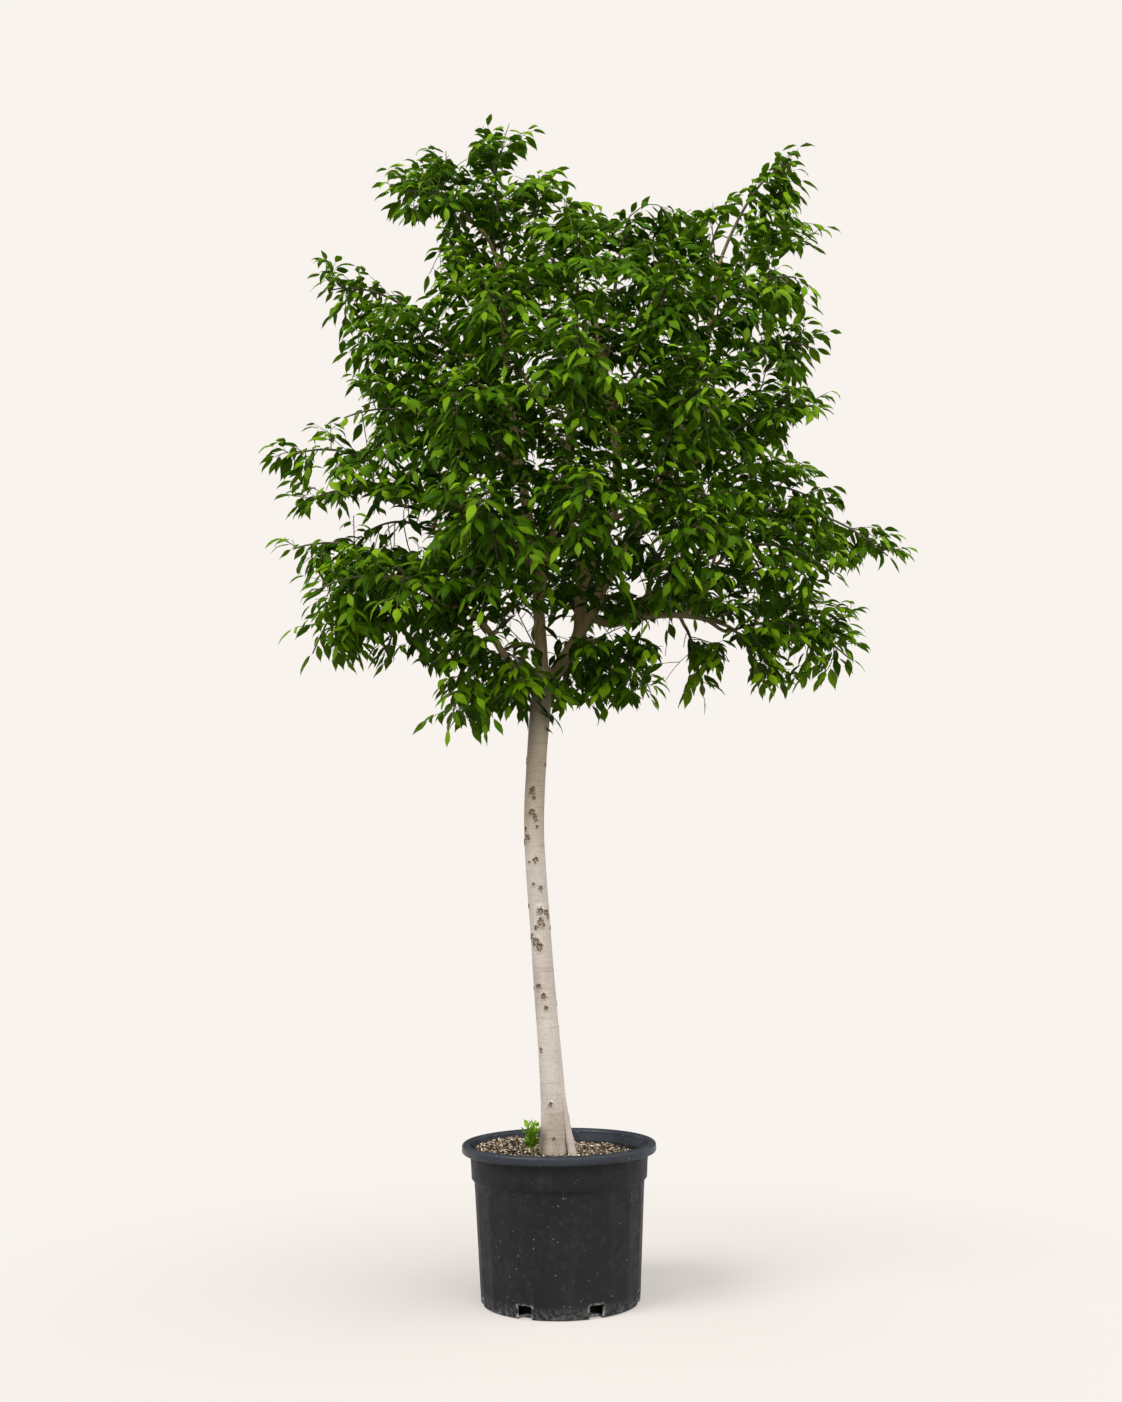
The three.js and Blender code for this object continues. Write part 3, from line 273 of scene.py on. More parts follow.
# The leaves
LEAF_STEP = 0.0132  # from one leaf to the next along a twig
LEAF_LENGTH = (0.054, 0.072)  # with the stalk
LEAF_WIDTH = 0.31  # share of the length
LEAF_FOLD = (0.10, 0.34)  # how far a leaf's edges lie off its midrib's plane, as a share of its width
STALK_SHARE = 0.13  # of a leaf's length
STALK_RADIUS = 0.0007
LEAF_ANGLE = math.radians(54)  # from its twig
LEAF_RISE = math.radians(25)  # how far it sets off above its heading
LEAF_DROOP = 0.22  # how much its own weight turns a leaf's heading down
LEAF_BEND = (0.75, 1.15)  # share of the way that a leaf turns from its heading to straight down
LEAF_OUTWARD = 0.3  # how much a leaf's face turns out of the crown
LEAF_TILT = 0.45  # how much it keeps of its twig's own plane
LEAF_TWIST = 0.3
LEAF_WAVE = 0.0008  # depth of the waves along its edges
LEAF_SCATTER = 0.16  # how much the leaves' angles to their twig differ
END_SCATTER = 0.15  # the same for the leaf at a twig's end
LEAF_SIDEWAYS = (0.04, 0.2)  # mean and scatter of how far they leave the twig's plane
LEAF_FIRST = 0.7  # steps from a twig's bare foot to its first leaf
LEAF_LAST = 0.35  # least steps from its last side leaf to its end
LEAF_SIZES = (0.86, 1.08)
LEAF_WIDTHS = (0.88, 1.1)
LEAF_DROOPS = (0.2, 1.4)
LEAF_RISES = (0.5, 1.3)
LEAF_BENDS = (0.8, 2.3)  # least and most, in radians
LEAF_REACH = 0.03  # from a leaf's foot to the place where the gaps are read
TONE_SCATTER = 0.13
YOUNG_TONE = 0.3  # how much brighter the leaves at a twig's end are
YOUNG_SIZE = 0.22  # and how much smaller
PAINTED_CROWN_SHADE = 0.5  # painted shade: how much brighter the leaves are painted outside than on the crown's axis, darker inside where the crown's shade falls
FINE_STATIONS = (0, 0.09, 0.24, 0.42, 0.6, 0.77, 0.9, 1)  # shares of a blade's length with points
COARSE_STATIONS = (0, 0.16, 0.42, 0.68, 0.87, 1)  # the same for the leaves further in

# Short twigs inside the crown, along the bare branches
INNER_STEP = 0.06
INNER_LENGTH = (0.07, 0.17)
INNER_TURN = 2.4  # from one to the next round the branch, in radians
INNER_PIECES = 8
INNER_ROLL = 40  # the most that they roll to one side, in degrees
BARE_BELOW = 1.33  # the wood carries no short twigs under this height

# The crown's mass, as rows of height, left side, right side and half depth in millimetres
CROWN = [
    (1340, -220, 220, 160), (1440, -500, 620, 300), (1540, -540, 670, 400), (1640, -520, 660, 440),
    (1750, -520, 610, 470), (1850, -510, 570, 490), (1950, -440, 570, 490), (2060, -440, 570, 450),
    (2160, -420, 570, 400), (2270, -280, 560, 340), (2380, -250, 540, 250), (2430, -300, 100, 160),
    (2540, -300, -60, 100),
]

# Twigs that fill what room the boughs leave in it
FILL_STEP = 0.075  # the grid of places that are tried, and how far each may lie off it
FILL_JITTER = 0.035
FILL_ACROSS = (-0.7, 0.8)  # where that grid lies along x
FILL_DEEP = (-0.55, 0.6)  # and along y
FILL_GAP = 0.3  # the greatest share of missing leaves at a place that is taken
FILL_ROOM = 0.072  # least distance from a twig's end to any other twig's middle
FILL_FROM = 0.4  # shares of the way from the crown's middle to its outside
FILL_TO = 0.9
FILL_STARTS = (0.1, 0.97)  # shares of a path of the wood between which such twigs may start
FILL_START_STEP = 0.03  # from one start to the next
FILL_FARTHEST = 0.72  # the greatest cost of a way from the wood that a twig still grows
FILL_SHORTEST = 0.05  # its least length
FILL_BARRED = 9  # the cost that bars a spot from carrying a twig
FILL_LEAFY = 0.13  # the length at a twig's end that carries leaves
FILL_TWIGLETS = 3
FILL_ROLL = 50  # the most that they roll to one side, in degrees
FILL_OUTER = 0.65  # from this far out of the crown on, their leaves have the finer grid
LAYER = 0.2  # height of the crown's layers, each a piece of its own
SPRAYS = [  # leafy twigs that end where the photograph shows a tuft, by their ends in millimetres
    (-530, 40, 2350), (-450, 50, 2345), (-625, -50, 1850), (-600, -60, 1660), (745, 20, 1660), (790, 0, 1625),
    (470, 10, 1345), (520, 40, 1325), (565, 20, 1345), (615, 60, 1350), (600, 30, 2170), (580, -40, 2190),
    (690, 40, 1495), (650, 10, 1505),
]

# The gaps that show through the crown from the front: rows of x, z, half width and half height in
# millimetres, and the share of the leaves that is missing there
GAPS = [
    (268, 1365, 34, 80, 1.0), (415, 1350, 26, 90, 1.0), (310, 1455, 125, 36, 0.85),
    (400, 1290, 60, 40, 1.0), (-560, 1705, 90, 42, 0.85), (-385, 1700, 110, 60, 0.6),
    (-330, 1330, 62, 60, 0.95), (-350, 1430, 80, 36, 0.4), (-72, 1465, 30, 46, 0.9),
    (20, 1465, 30, 44, 0.7), (-110, 1240, 40, 60, 0.6), (100, 1240, 60, 50, 0.8), (-345, 2350, 95, 85, 0.9),
    (-215, 2630, 40, 45, 0.9), (0, 2460, 60, 40, 0.5), (230, 2500, 190, 50, 0.8),
    (-110, 2710, 180, 40, 0.8), (415, 2385, 44, 60, 0.7), (-500, 1985, 110, 36, 0.9),
    (-545, 1890, 60, 34, 0.6), (230, 1650, 34, 44, 0.5), (600, 1900, 70, 40, 0.6), (640, 2230, 60, 24, 0.5),
    (200, 1560, 44, 28, 0.6), (600, 1490, 90, 24, 0.3), (560, 2330, 50, 30, 0.6), (600, 2400, 40, 50, 0.5),
    (-580, 1410, 80, 60, 0.75), (-26, 1305, 30, 40, 0.8), (-28, 1450, 18, 90, 0.6),
    (64, 1495, 34, 45, 0.55), (115, 1452, 50, 22, 0.7), (-530, 1800, 24, 70, 0.7),
    (-560, 1560, 50, 40, 0.5), (-440, 1925, 50, 36, 0.6), (-540, 2110, 60, 40, 0.5),
    (625, 2330, 50, 50, 0.6), (625, 2080, 50, 90, 0.45), (-100, 2560, 50, 40, 0.3),
    (700, 1720, 60, 40, 0.6), (-420, 1290, 80, 50, 0.6),
]
GAP_END = 1.2  # where a gap's thinning ends, as a share of its size
GAP_EDGE = 0.4  # and the share over which it fades
GAP_CLOSES = 0.5  # from this share of missing leaves on, a gap has no short twigs

# The seedling
SEEDLING_PLACE = (-0.058, -0.034)
SEEDLING_FOOT = 0.316
SEEDLING_SHOOTS = 6
SEEDLING_HEIGHT = 0.045
SEEDLING_LEAN = 0.004
SEEDLING_SWAY = 0.010  # how much its shoots differ in lean and height
SEEDLING_PAIRS = 5
SEEDLING_LEAF = 0.34  # size of its leaves, as a share of the tree's


def chance(a, b):
    """A repeatable number from 0 to 1 for a pair of whole numbers."""
    wide = math.sin(a * 127.1 + b * 311.7) * 43758.5453
    return wide - math.floor(wide)


def mix(low, high, share):
    return low + (high - low) * share


def unit(v):
    return v / np.maximum(np.linalg.norm(v, axis=-1, keepdims=True), 1e-12)


def dots(a, b):
    return np.sum(a * b, axis=-1, keepdims=True)


def turns(count):
    """Evenly spaced angles round a circle."""
    return np.linspace(0, 2 * math.pi, count, endpoint=False)


def side_of(k):
    """The side that the k-th twig of a row leaves to, -1 or 1 in turn."""
    return 1 if k % 2 else -1


def noise_at(places):
    """Smooth noise, from about -1 to 1, at each row of places."""
    return np.array([noise.noise(Vector(place)) for place in places])


def box_faces(count):
    """The faces of this many boxes, whose corners are listed one box after another."""
    return (np.array(BOX_FACES) + 8 * np.arange(count)[:, None, None]).reshape(-1, 4)


def linked(name, data):
    obj = bpy.data.objects.new(name, data)
    bpy.context.scene.collection.objects.link(obj)
    return obj


def mesh_object(name, points, faces):
    mesh = bpy.data.meshes.new(name)
    mesh.from_pydata(np.reshape(points, (-1, 3)).tolist(), [], faces)
    return linked(name, mesh)


def vertex_places(mesh):
    flat = np.empty(3 * len(mesh.vertices))
    mesh.vertices.foreach_get("co", flat)
    return flat.reshape(-1, 3)


def set_tone(mesh, values):
    """The number at each vertex that the materials read: a leaf's tone, a scar, or wear."""
    mesh.attributes.new("tone", "FLOAT", "POINT").data.foreach_set("value", values)


def set_smooth(mesh, smooth=True):
    mesh.polygons.foreach_set("use_smooth", [smooth] * len(mesh.polygons))


def applied(obj):
    """The object with its modifiers applied to its mesh."""
    seen = bpy.context.evaluated_depsgraph_get()
    mesh = bpy.data.meshes.new_from_object(obj.evaluated_get(seen))
    obj.modifiers.clear()
    obj.data = mesh
    return obj


def placed(obj, record_slot, *nodes):
    """Makes a finished piece ride on the one body and stand for these nodes."""
    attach(obj, "root")
    if nodes:
        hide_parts(*nodes)
    return obj


# Paths: each is a function from t, an array from 0 to 1, to rows of x, y, z and radius.


def smooth_path(rows):
    rows = np.array(rows, float) * MM
    before = np.vstack([rows[:1], rows[:-1]])
    after = np.vstack([rows[2:], rows[-1:], rows[-1:]])

    def at(t):
        spot = np.clip(np.atleast_1d(t), 0, 0.999999) * (len(rows) - 1)
        i = spot.astype(int)
        s = (spot - i)[:, None]
        here, there = rows[i], rows[i + 1]
        leave = (there - before[i]) / 2
        arrive = (after[i] - here) / 2
        a = 2 * (here - there) + leave + arrive
        b = 3 * (there - here) - 2 * leave - arrive
        return ((a * s + b) * s + leave) * s + here

    return at


def bezier(corners, thick, thin):
    order = len(corners) - 1

    def at(t):
        t = np.atleast_1d(np.asarray(t, float))[:, None]
        point = sum(
            math.comb(order, k) * (1 - t) ** (order - k) * t**k * corner
            for k, corner in enumerate(corners)
        )
        return np.hstack([point, thick + (thin - thick) * t])

    return at


def point_at(path, t):
    return path(t)[:, :3]


def ahead_at(path, t):
    step = 0.01
    t = np.atleast_1d(np.asarray(t, float))
    return unit(point_at(path, np.minimum(t + step, 1)) - point_at(path, np.maximum(t - step, 0)))


def span(path):
    return float(np.linalg.norm(point_at(path, 1)[0] - point_at(path, 0)[0]))


def bough_curve(root, reach):
    start = np.array(root, float) * MM
    end = np.array(reach, float) * MM
    length = np.linalg.norm(end - start) - END_LEAF
    end = start + unit(end - start) * length
    middle = (start + end) / 2 + UP * (2 * BOUGH_ARCH * length)
    return bezier([start, middle, end], STEM_RADIUS, STEM_TIP_RADIUS)


def leader_rings(rows):
    return math.floor(LEADER_RINGS * (len(rows) - 1) + 0.5)


def branch_paths(curves):
    """Every bare branch, each from the spot on the wood that leads best to its bough."""
    spots = []

    def add_spots(path, rings):
        for k in range(1, rings):
            row = path(k / rings)[0]
            spots.append((row[:3], ahead_at(path, k / rings)[0], row[3]))

    def cost(spot, goal):
        way = goal - spot[0]
        length = np.linalg.norm(way)
        return length * (1 + TURN_COST * (1 - spot[1] @ way / length))

    def best(goal):
        return min(spots, key=lambda spot: cost(spot, goal))

    for rows in LEADERS.values():
        add_spots(smooth_path(rows), leader_rings(rows))
    roots = [(curve, point_at(curve, 0)[0]) for curve in curves]
    roots.sort(key=lambda pair: cost(best(pair[1]), pair[1]))
    branches = []
    for curve, root in roots:
        place, ahead, radius = best(root)
        length = np.linalg.norm(root - place)
        leave = place + ahead * (BRANCH_LEAVE * length)
        arrive = root - ahead_at(curve, 0)[0] * (BRANCH_ARRIVE * length)
        thick = min(BRANCH_SHARE * radius, STEM_RADIUS + BRANCH_GROWTH * length)
        path = bezier([place, leave, arrive, root], thick, STEM_RADIUS)
        add_spots(path, min(max(round(length / BRANCH_RING_STEP), 1), BRANCH_MAX_RINGS))
        branches.append(path)
    return branches


def outwardness(place):
    """0 on the crown's axis, 1 on the outside of its mass, for one place or rows of them."""
    x, y, z = np.moveaxis(place, -1, 0)
    heights = [row[0] * MM for row in CROWN]
    left, right, depth = (np.interp(z, heights, [row[k] * MM for row in CROWN]) for k in (1, 2, 3))
    return np.hypot((x - (left + right) / 2) / ((right - left) / 2), y / depth)


def missing(places):
    """The share of the leaves that is missing at each place, as the photograph's view shows it."""
    camera = np.array(CAMERA_PLACE)
    seen = camera + (places - camera) * (-camera[1] / (places[:, 1] - camera[1]))[:, None]
    share = np.zeros(len(places))
    for x, z, half_width, half_height, most in GAPS:
        away = np.hypot((seen[:, 0] - x * MM) / (half_width * MM), (seen[:, 2] - z * MM) / (half_height * MM))
        share = np.maximum(share, most * np.clip((GAP_END - away) / GAP_EDGE, 0, 1))
    return share


def in_gap(path):
    """Whether a short twig ends where the photograph shows a gap."""
    return missing(point_at(path, TWIG_MIDDLE))[0] > GAP_CLOSES


class Sheaf:
    """Collects vertices, faces, a flat map and a tone for one mesh."""

    def __init__(self):
        self.points = []
        self.maps = []
        self.tones = []
        self.faces = []
        self.slots = []
        self.count = 0

    def add(self, points, maps, tones, faces, slot=0):
        """Faces are an array of corners, numbered from the first of these points."""
        self.points.append(points)
        self.maps.append(maps)
        self.tones.append(np.broadcast_to(tones, len(points)))
        for block in faces:
            self.faces += (block + self.count).tolist()
            self.slots += [slot] * len(block)
        self.count += len(points)

    def object(self, name):
        return mesh_object(name, np.vstack(self.points), self.faces)

    def piece(self, name, materials, record_slot, *nodes):
        obj = self.object(name)
        mesh = obj.data
        set_smooth(mesh)
        mesh.polygons.foreach_set("material_index", self.slots)
        corner = np.empty(len(mesh.loops), int)
        mesh.loops.foreach_get("vertex_index", corner)
        layer = mesh.uv_layers.new(name="face_map")
        layer.data.foreach_set("uv", np.vstack(self.maps)[corner].ravel())
        set_tone(mesh, np.concatenate(self.tones))
        for material in materials:
            mesh.materials.append(material)
        mesh.update()
        return placed(obj, record_slot, *nodes)


def add_tube(sheaf, path, sides, rings, slot=0, tone=0.5, swell=None, closed_foot=False):
    """A round stem along a path, closed at its tip, and at its foot where it isn't sunk in another."""
    t = np.linspace(0, 1, rings + 1)
    rows = path(t)
    ahead = ahead_at(path, t)
    normal = np.array([1.0, 0.0, 0.0]) if abs(ahead[0][0]) < 0.9 else np.array([0.0, 1.0, 0.0])
    turn = turns(sides)
    points, maps = [], []
    for k in range(rings + 1):
        normal = unit(normal - ahead[k] * (normal @ ahead[k]))
        across = np.cross(ahead[k], normal)
        radius = rows[k, 3] * (swell(t[k]) if swell else 1.0)
        ring = np.cos(turn)[:, None] * normal + np.sin(turn)[:, None] * across
        points.append(rows[k, :3] + radius * ring)
        maps.append(np.column_stack([turn / (2 * math.pi), np.full(sides, t[k])]))
    points.append(rows[-1:, :3] + ahead[-1] * rows[-1, 3])
    maps.append(np.array([[0.5, 1.0]]))
    here = np.arange(sides)
    there = np.roll(here, -1)
    quads = np.vstack([
        np.column_stack([here, there, there + sides, here + sides]) + ring * sides
        for ring in range(rings)
    ])
    tip = rings * sides
    faces = [quads, np.column_stack([here + tip, there + tip, np.full(sides, tip + sides)])]
    if closed_foot:
        points.append(rows[:1, :3])
        maps.append(np.array([[0.5, 0.0]]))
        faces.append(np.column_stack([there, here, np.full(sides, tip + sides + 1)]))
    sheaf.add(np.vstack(points), np.vstack(maps), tone, faces, slot)


def twig_frames(path, length, roll, u, above=UP):
    """Centres, directions ahead and across, and normals of a flat twig at distances u along it."""
    t = np.atleast_1d(u) / length
    straight = unit(point_at(path, 1)[0] - point_at(path, 0)[0])
    level = unit(np.cross(above, straight))
    turn = Matrix.Rotation(math.radians(roll), 3, Vector(straight))
    level = np.array(turn @ Vector(level))
    ahead = ahead_at(path, t)
    across = unit(level - ahead * dots(ahead, level))
    return point_at(path, t), ahead, across, np.cross(ahead, across)


class Foliage(Sheaf):
    """A sheaf of twigs, and of leaves that are listed with them and made all at once at its end."""

    def __init__(self, seed, paints_crown_shade=True, limpness=1.0, breadth=1.0):
        super().__init__()
        self.rows = []
        self.random = np.random.default_rng(seed)
        self.paints_crown_shade = paints_crown_shade
        self.limpness = limpness
        self.breadth = breadth

    def twig(self, path, length, roll, grid, tone, shade, fine=False, bare=0.0, loss=1.0, step=LEAF_STEP):
        """A twig with leaves on its two sides in turn, and one at its end.

        Its grid is its tube's sides and rings. Tone is its bark's and shade its leaves'. Bare is the
        length without leaves at its foot, and loss how far the gaps thin the others.
        """
        add_tube(self, path, *grid, slot=1, tone=tone)
        u = np.append(np.arange(bare + LEAF_FIRST * step, length - LEAF_LAST * step, step), length)
        count = len(u)
        centre, ahead, across, normal = twig_frames(path, length, roll, u)
        side = np.where(np.arange(count) % 2 == 0, 1.0, -1.0)[:, None]
        angle = LEAF_ANGLE + self.random.normal(0, LEAF_SCATTER, (count, 1))
        angle[-1] = self.random.normal(0, END_SCATTER)
        heading = ahead * np.cos(angle) + across * side * np.sin(angle)
        heading = heading + normal * self.random.normal(*LEAF_SIDEWAYS, (count, 1))
        root = centre + across * side * TWIG_RADIUS * 0.7
        young = (u / length) ** 2
        tones = shade + YOUNG_TONE * young + self.random.normal(0, TONE_SCATTER, count)
        size = (1.04 - YOUNG_SIZE * young) * self.random.uniform(*LEAF_SIZES, count)
        droop = LEAF_DROOP * self.random.uniform(*LEAF_DROOPS, (count, 1)) * (1 - 0.6 * young[:, None])
        heading = unit(unit(heading) - UP * droop)
        self.rows.append((root, heading, normal, tones, size, np.full(count, fine), np.full(count, loss)))

    def open_twig(self, path, *others, **named):
        """The same, but none where the photograph shows a gap."""
        if not in_gap(path):
            self.twig(path, *others, **named)

    def piece(self, name, materials, record_slot, *nodes):
        columns = [np.concatenate(column) for column in zip(*self.rows)]
        root, heading, loss = columns[0], columns[1], columns[6]
        kept = self.random.uniform(0, 1, len(root)) >= loss * missing(root + heading * LEAF_REACH)
        root, heading, normal, tone, size, fine, _ = (column[kept] for column in columns)
        # Painted shade: leaves deeper in the crown get a darker tone, those at its outside a brighter one.
        if self.paints_crown_shade:
            tone = tone + PAINTED_CROWN_SHADE * (np.minimum(outwardness(root), 1.1) - 0.75)
        for wanted, stations in ((True, FINE_STATIONS), (False, COARSE_STATIONS)):
            chosen = fine == wanted
            if chosen.any():
                self.blades(stations, *(column[chosen] for column in (root, heading, normal, tone, size)))
        return super().piece(name, materials, record_slot, *nodes)

    def blades(self, stations, root, heading, normal, tone, size):
        """Folded and bent blades on thin stalks, all with the same grid of points."""
        draw = self.random
        n = len(root)
        length = mix(*LEAF_LENGTH, draw.uniform(0, 1, n)) * size
        width = length * self.breadth * LEAF_WIDTH * draw.uniform(*LEAF_WIDTHS, n)
        outward = unit((root - CROWN_MIDDLE) * (1, 1, 0))
        above = normal * LEAF_TILT + UP + outward * LEAF_OUTWARD
        above = unit(above - heading * dots(above, heading))
        aside = np.cross(above, heading)
        twist = draw.normal(0, LEAF_TWIST, (n, 1))
        cos, sin = np.cos(twist), np.sin(twist)
        above, aside = above * cos + aside * sin, aside * cos - above * sin
        rise = LEAF_RISE * draw.uniform(*LEAF_RISES, n)
        fall = np.arccos(np.clip(-heading[:, 2], -1, 1)) + rise
        bend = self.limpness * np.clip(fall * draw.uniform(*LEAF_BEND, n), *LEAF_BENDS)

        def centreline(share):
            radius = length / bend
            angle = share * bend - rise
            out = radius * (np.sin(angle) + np.sin(rise))
            down = radius * (np.cos(rise) - np.cos(angle))
            place = root + heading * out[:, None] - above * down[:, None]
            face = above * np.cos(angle)[:, None] + heading * np.sin(angle)[:, None]
            return place, face

        wave = draw.uniform(0, 2 * math.pi, n)
        fold = width * draw.uniform(*LEAF_FOLD, n)
        points, maps = [], []
        for b in stations:
            share = STALK_SHARE + (1 - STALK_SHARE) * b
            place, face = centreline(share)
            half = 0.5 * width * blade_width(b)
            if b in (0, 1):
                points.append(place)
                maps.append((0.5, b))
                continue
            for c in (-1, 0, 1):
                lift = abs(c) * (LEAF_WAVE * np.sin(wave + 9 * b + 2 * c) - fold * blade_width(b))
                points.append(place + aside * (c * half)[:, None] + face * lift[:, None])
                maps.append((0.5 + 0.5 * c, b))
        for share in (0.0, 0.5 * STALK_SHARE):
            place, _ = centreline(share)
            for c in (-1, 1):
                points.append(place + aside * (c * STALK_RADIUS))
                maps.append((0.5, 0.0))
        count = len(points)
        inner = len(stations) - 2
        tip, stalk = 3 * inner + 1, 3 * inner + 2
        quads = [(k, k + 1, k + 4, k + 3) for row in range(inner - 1) for k in (3 * row + 1, 3 * row + 2)]
        quads.append((stalk, stalk + 1, stalk + 3, stalk + 2))
        triangles = [(0, 2, 1), (tip, tip - 3, tip - 2), (0, 3, 2), (tip, tip - 2, tip - 1)]
        triangles.append((stalk + 2, stalk + 3, 0))
        offset = (np.arange(n) * count)[:, None, None]
        blocks = [(np.array(cell) + offset).reshape(-1, len(cell[0])) for cell in (quads, triangles)]
        vertices = np.stack(points, axis=1).reshape(-1, 3)
        self.add(vertices, np.tile(np.array(maps), (n, 1)), np.repeat(tone, count), blocks)


def blade_width(b):
    """A blade's width at a share of its length, against its greatest: egg-shaped with a drawn-out tip."""
    body = math.sin(math.pi * b**0.76) ** 1.2 if 0 < b < 1 else 0.0
    tip = min(max((b - 0.62) / 0.38, 0.0), 1.0)
    return body * (1 - 0.5 * tip * tip * (3 - 2 * tip))


# Materials


class Graph:
    """Short names for the nodes of a new material or world."""

    def __init__(self, owner, place="Object"):
        owner.use_nodes = True
        self.owner = owner
        self.nodes = owner.node_tree.nodes
        self.place = self.node("ShaderNodeTexCoord", place)

    def feed(self, socket, value):
        """Gives a socket its value, or another node's output."""
        if isinstance(value, bpy.types.NodeSocket):
            self.owner.node_tree.links.new(value, socket)
        elif socket.type == "RGBA":
            socket.default_value = (*value, 1)
        else:
            socket.default_value = value

    def node(self, kind, output, inputs=(), **settings):
        """The output of a new node with these inputs, by name or number, and settings."""
        made = self.nodes.new(kind)
        for name, value in settings.items():
            setattr(made, name, value)
        for name, value in dict(inputs).items():
            self.feed(made.inputs[name], value)
        return made.outputs[output]

    def noise(self, scale, detail=4.0, stretch=None, roughness=0.55):
        place = self.place
        if stretch:
            place = self.node("ShaderNodeMapping", "Vector", {"Vector": place, "Scale": stretch})
        inputs = {"Vector": place, "Scale": scale, "Detail": detail, "Roughness": roughness}
        return self.node("ShaderNodeTexNoise", "Fac", inputs)

    def spots(self, scale):
        return self.node("ShaderNodeTexVoronoi", "Distance", {"Vector": self.place, "Scale": scale})

    def tone(self):
        return self.node("ShaderNodeAttribute", "Fac", attribute_name="tone")

    def axis(self, letter, vector):
        return self.node("ShaderNodeSeparateXYZ", letter, {"Vector": vector})

    def ramp(self, value, *stops):
        """stops are (position, grey or colour)."""
        colour = self.node("ShaderNodeValToRGB", "Color", {"Fac": value})
        band = colour.node.color_ramp
        while len(band.elements) < len(stops):
            band.elements.new(0.5)
        for element, (position, colour_there) in zip(band.elements, stops):
            element.position = position
            grey = not isinstance(colour_there, tuple)
            element.color = (*((colour_there,) * 3 if grey else colour_there), 1)
        return colour

    def maths(self, operation, *values):
        return self.node("ShaderNodeMath", "Value", enumerate(values), operation=operation)

    def times(self, a, b):
        return self.maths("MULTIPLY", a, b)

    def blend(self, share, low, high, blend_type="MIX"):
        inputs = {"Factor": share, 6: low, 7: high}
        return self.node("ShaderNodeMix", 2, inputs, data_type="RGBA", blend_type=blend_type)

    def faded(self, value, edges, low, high=1.0):
        """A smooth step from low to high between two edges."""
        inputs = {"Value": value, "From Min": edges[0], "From Max": edges[1], "To Min": low, "To Max": high}
        return self.node("ShaderNodeMapRange", "Result", inputs, interpolation_type="SMOOTHSTEP")


class Material(Graph):
    """A new material with its shader's colour, roughness and bump."""

    def __init__(self, name, roughness=0.5, specular=0.5):
        super().__init__(bpy.data.materials.new(name))
        self.shader = self.nodes["Principled BSDF"]
        self.feed(self.shader.inputs["Roughness"], roughness)
        self.feed(self.shader.inputs["Specular IOR Level"], specular)

    def paint(self, colour, rough=None):
        self.feed(self.shader.inputs["Base Color"], colour)
        if rough:
            self.feed(self.shader.inputs["Roughness"], rough)

    def bump(self, height, strength, distance):
        inputs = {"Height": height, "Strength": strength, "Distance": distance}
        self.feed(self.shader.inputs["Normal"], self.node("ShaderNodeBump", "Normal", inputs))

    def show(self, closure):
        self.feed(self.nodes["Material Output"].inputs["Surface"], closure)

    def show_with(self, share, other):
        """Shows the shader mixed with another by this share."""
        inputs = {"Fac": share, 1: self.shader.outputs["BSDF"], 2: other}
        self.show(self.node("ShaderNodeMixShader", "Shader", inputs))

    def glow(self):
        """An emission shader of the backdrop's colour."""
        return self.node("ShaderNodeEmission", "Emission", {"Color": BACKDROP})


FIG_COLOURS = ((0.004, 0.018, 0.0005), (0.037, 0.11, 0.0015), (0.19, 0.34, 0.006), (0.19, 0.43, 0.006))
SEEDLING_COLOURS = ((0.03, 0.09, 0.006), (0.13, 0.3, 0.015), (0.36, 0.56, 0.04), (0.4, 0.62, 0.04))
LEAF_ROUGHNESS = 0.4
LEAF_LIGHT = 0.16  # share of the light that shines through a leaf
VEINS = 95.0  # how close the side veins stand


def leaf_material(name, dark, middle, bright, glow):
    """A waxy leaf: its tone from dark to bright, a pale midrib, fine side veins and light through it."""
    graph = Material(name, LEAF_ROUGHNESS, 0.05)
    face = graph.node("ShaderNodeUVMap", "UV", uv_map="face_map")
    aside = graph.maths("ABSOLUTE", graph.maths("SUBTRACT", graph.axis("X", face), 0.5))
    mottle = graph.maths("MULTIPLY_ADD", graph.noise(70, 3), 0.24, -0.12)
    tone = graph.maths("ADD", graph.tone(), mottle)
    colour = graph.ramp(tone, (0.05, dark), (0.5, middle), (0.95, bright))
    midrib = graph.ramp(aside, (0.012, 1.0), (0.045, 0.0))
    colour = graph.blend(graph.times(midrib, 0.4), colour, bright)
    slant = graph.maths("MULTIPLY_ADD", aside, -0.55, graph.axis("Y", face))
    veined = graph.maths("MULTIPLY_ADD", graph.maths("SINE", graph.times(slant, VEINS)), 0.5, 0.5)
    colour = graph.blend(graph.times(veined, 0.1), colour, bright)
    wax = graph.ramp(graph.noise(45, 3), (0.3, LEAF_ROUGHNESS - 0.06), (0.7, LEAF_ROUGHNESS + 0.12))
    graph.paint(colour, wax)
    height = graph.maths("MULTIPLY_ADD", veined, 0.3, graph.times(midrib, -1.0))
    graph.bump(height, 0.5, 0.0004)
    lit = {"Color": graph.blend(0.5, colour, glow)}
    graph.show_with(LEAF_LIGHT, graph.node("ShaderNodeBsdfTranslucent", "BSDF", lit))
    return graph.owner


def twig_material():
    """Twig bark, brown where its tone is low and green where it is young."""
    graph = Material("twig_bark", 0.6, 0.35)
    brown = graph.ramp(graph.noise(60, 4), (0.3, (0.075, 0.055, 0.026)), (0.7, (0.16, 0.13, 0.065)))
    green = graph.ramp(graph.noise(40, 3), (0.3, (0.07, 0.12, 0.02)), (0.7, (0.13, 0.2, 0.04)))
    graph.paint(graph.blend(graph.tone(), brown, green))
    graph.bump(graph.noise(300, 2), 0.3, 0.0004)
    return graph.owner


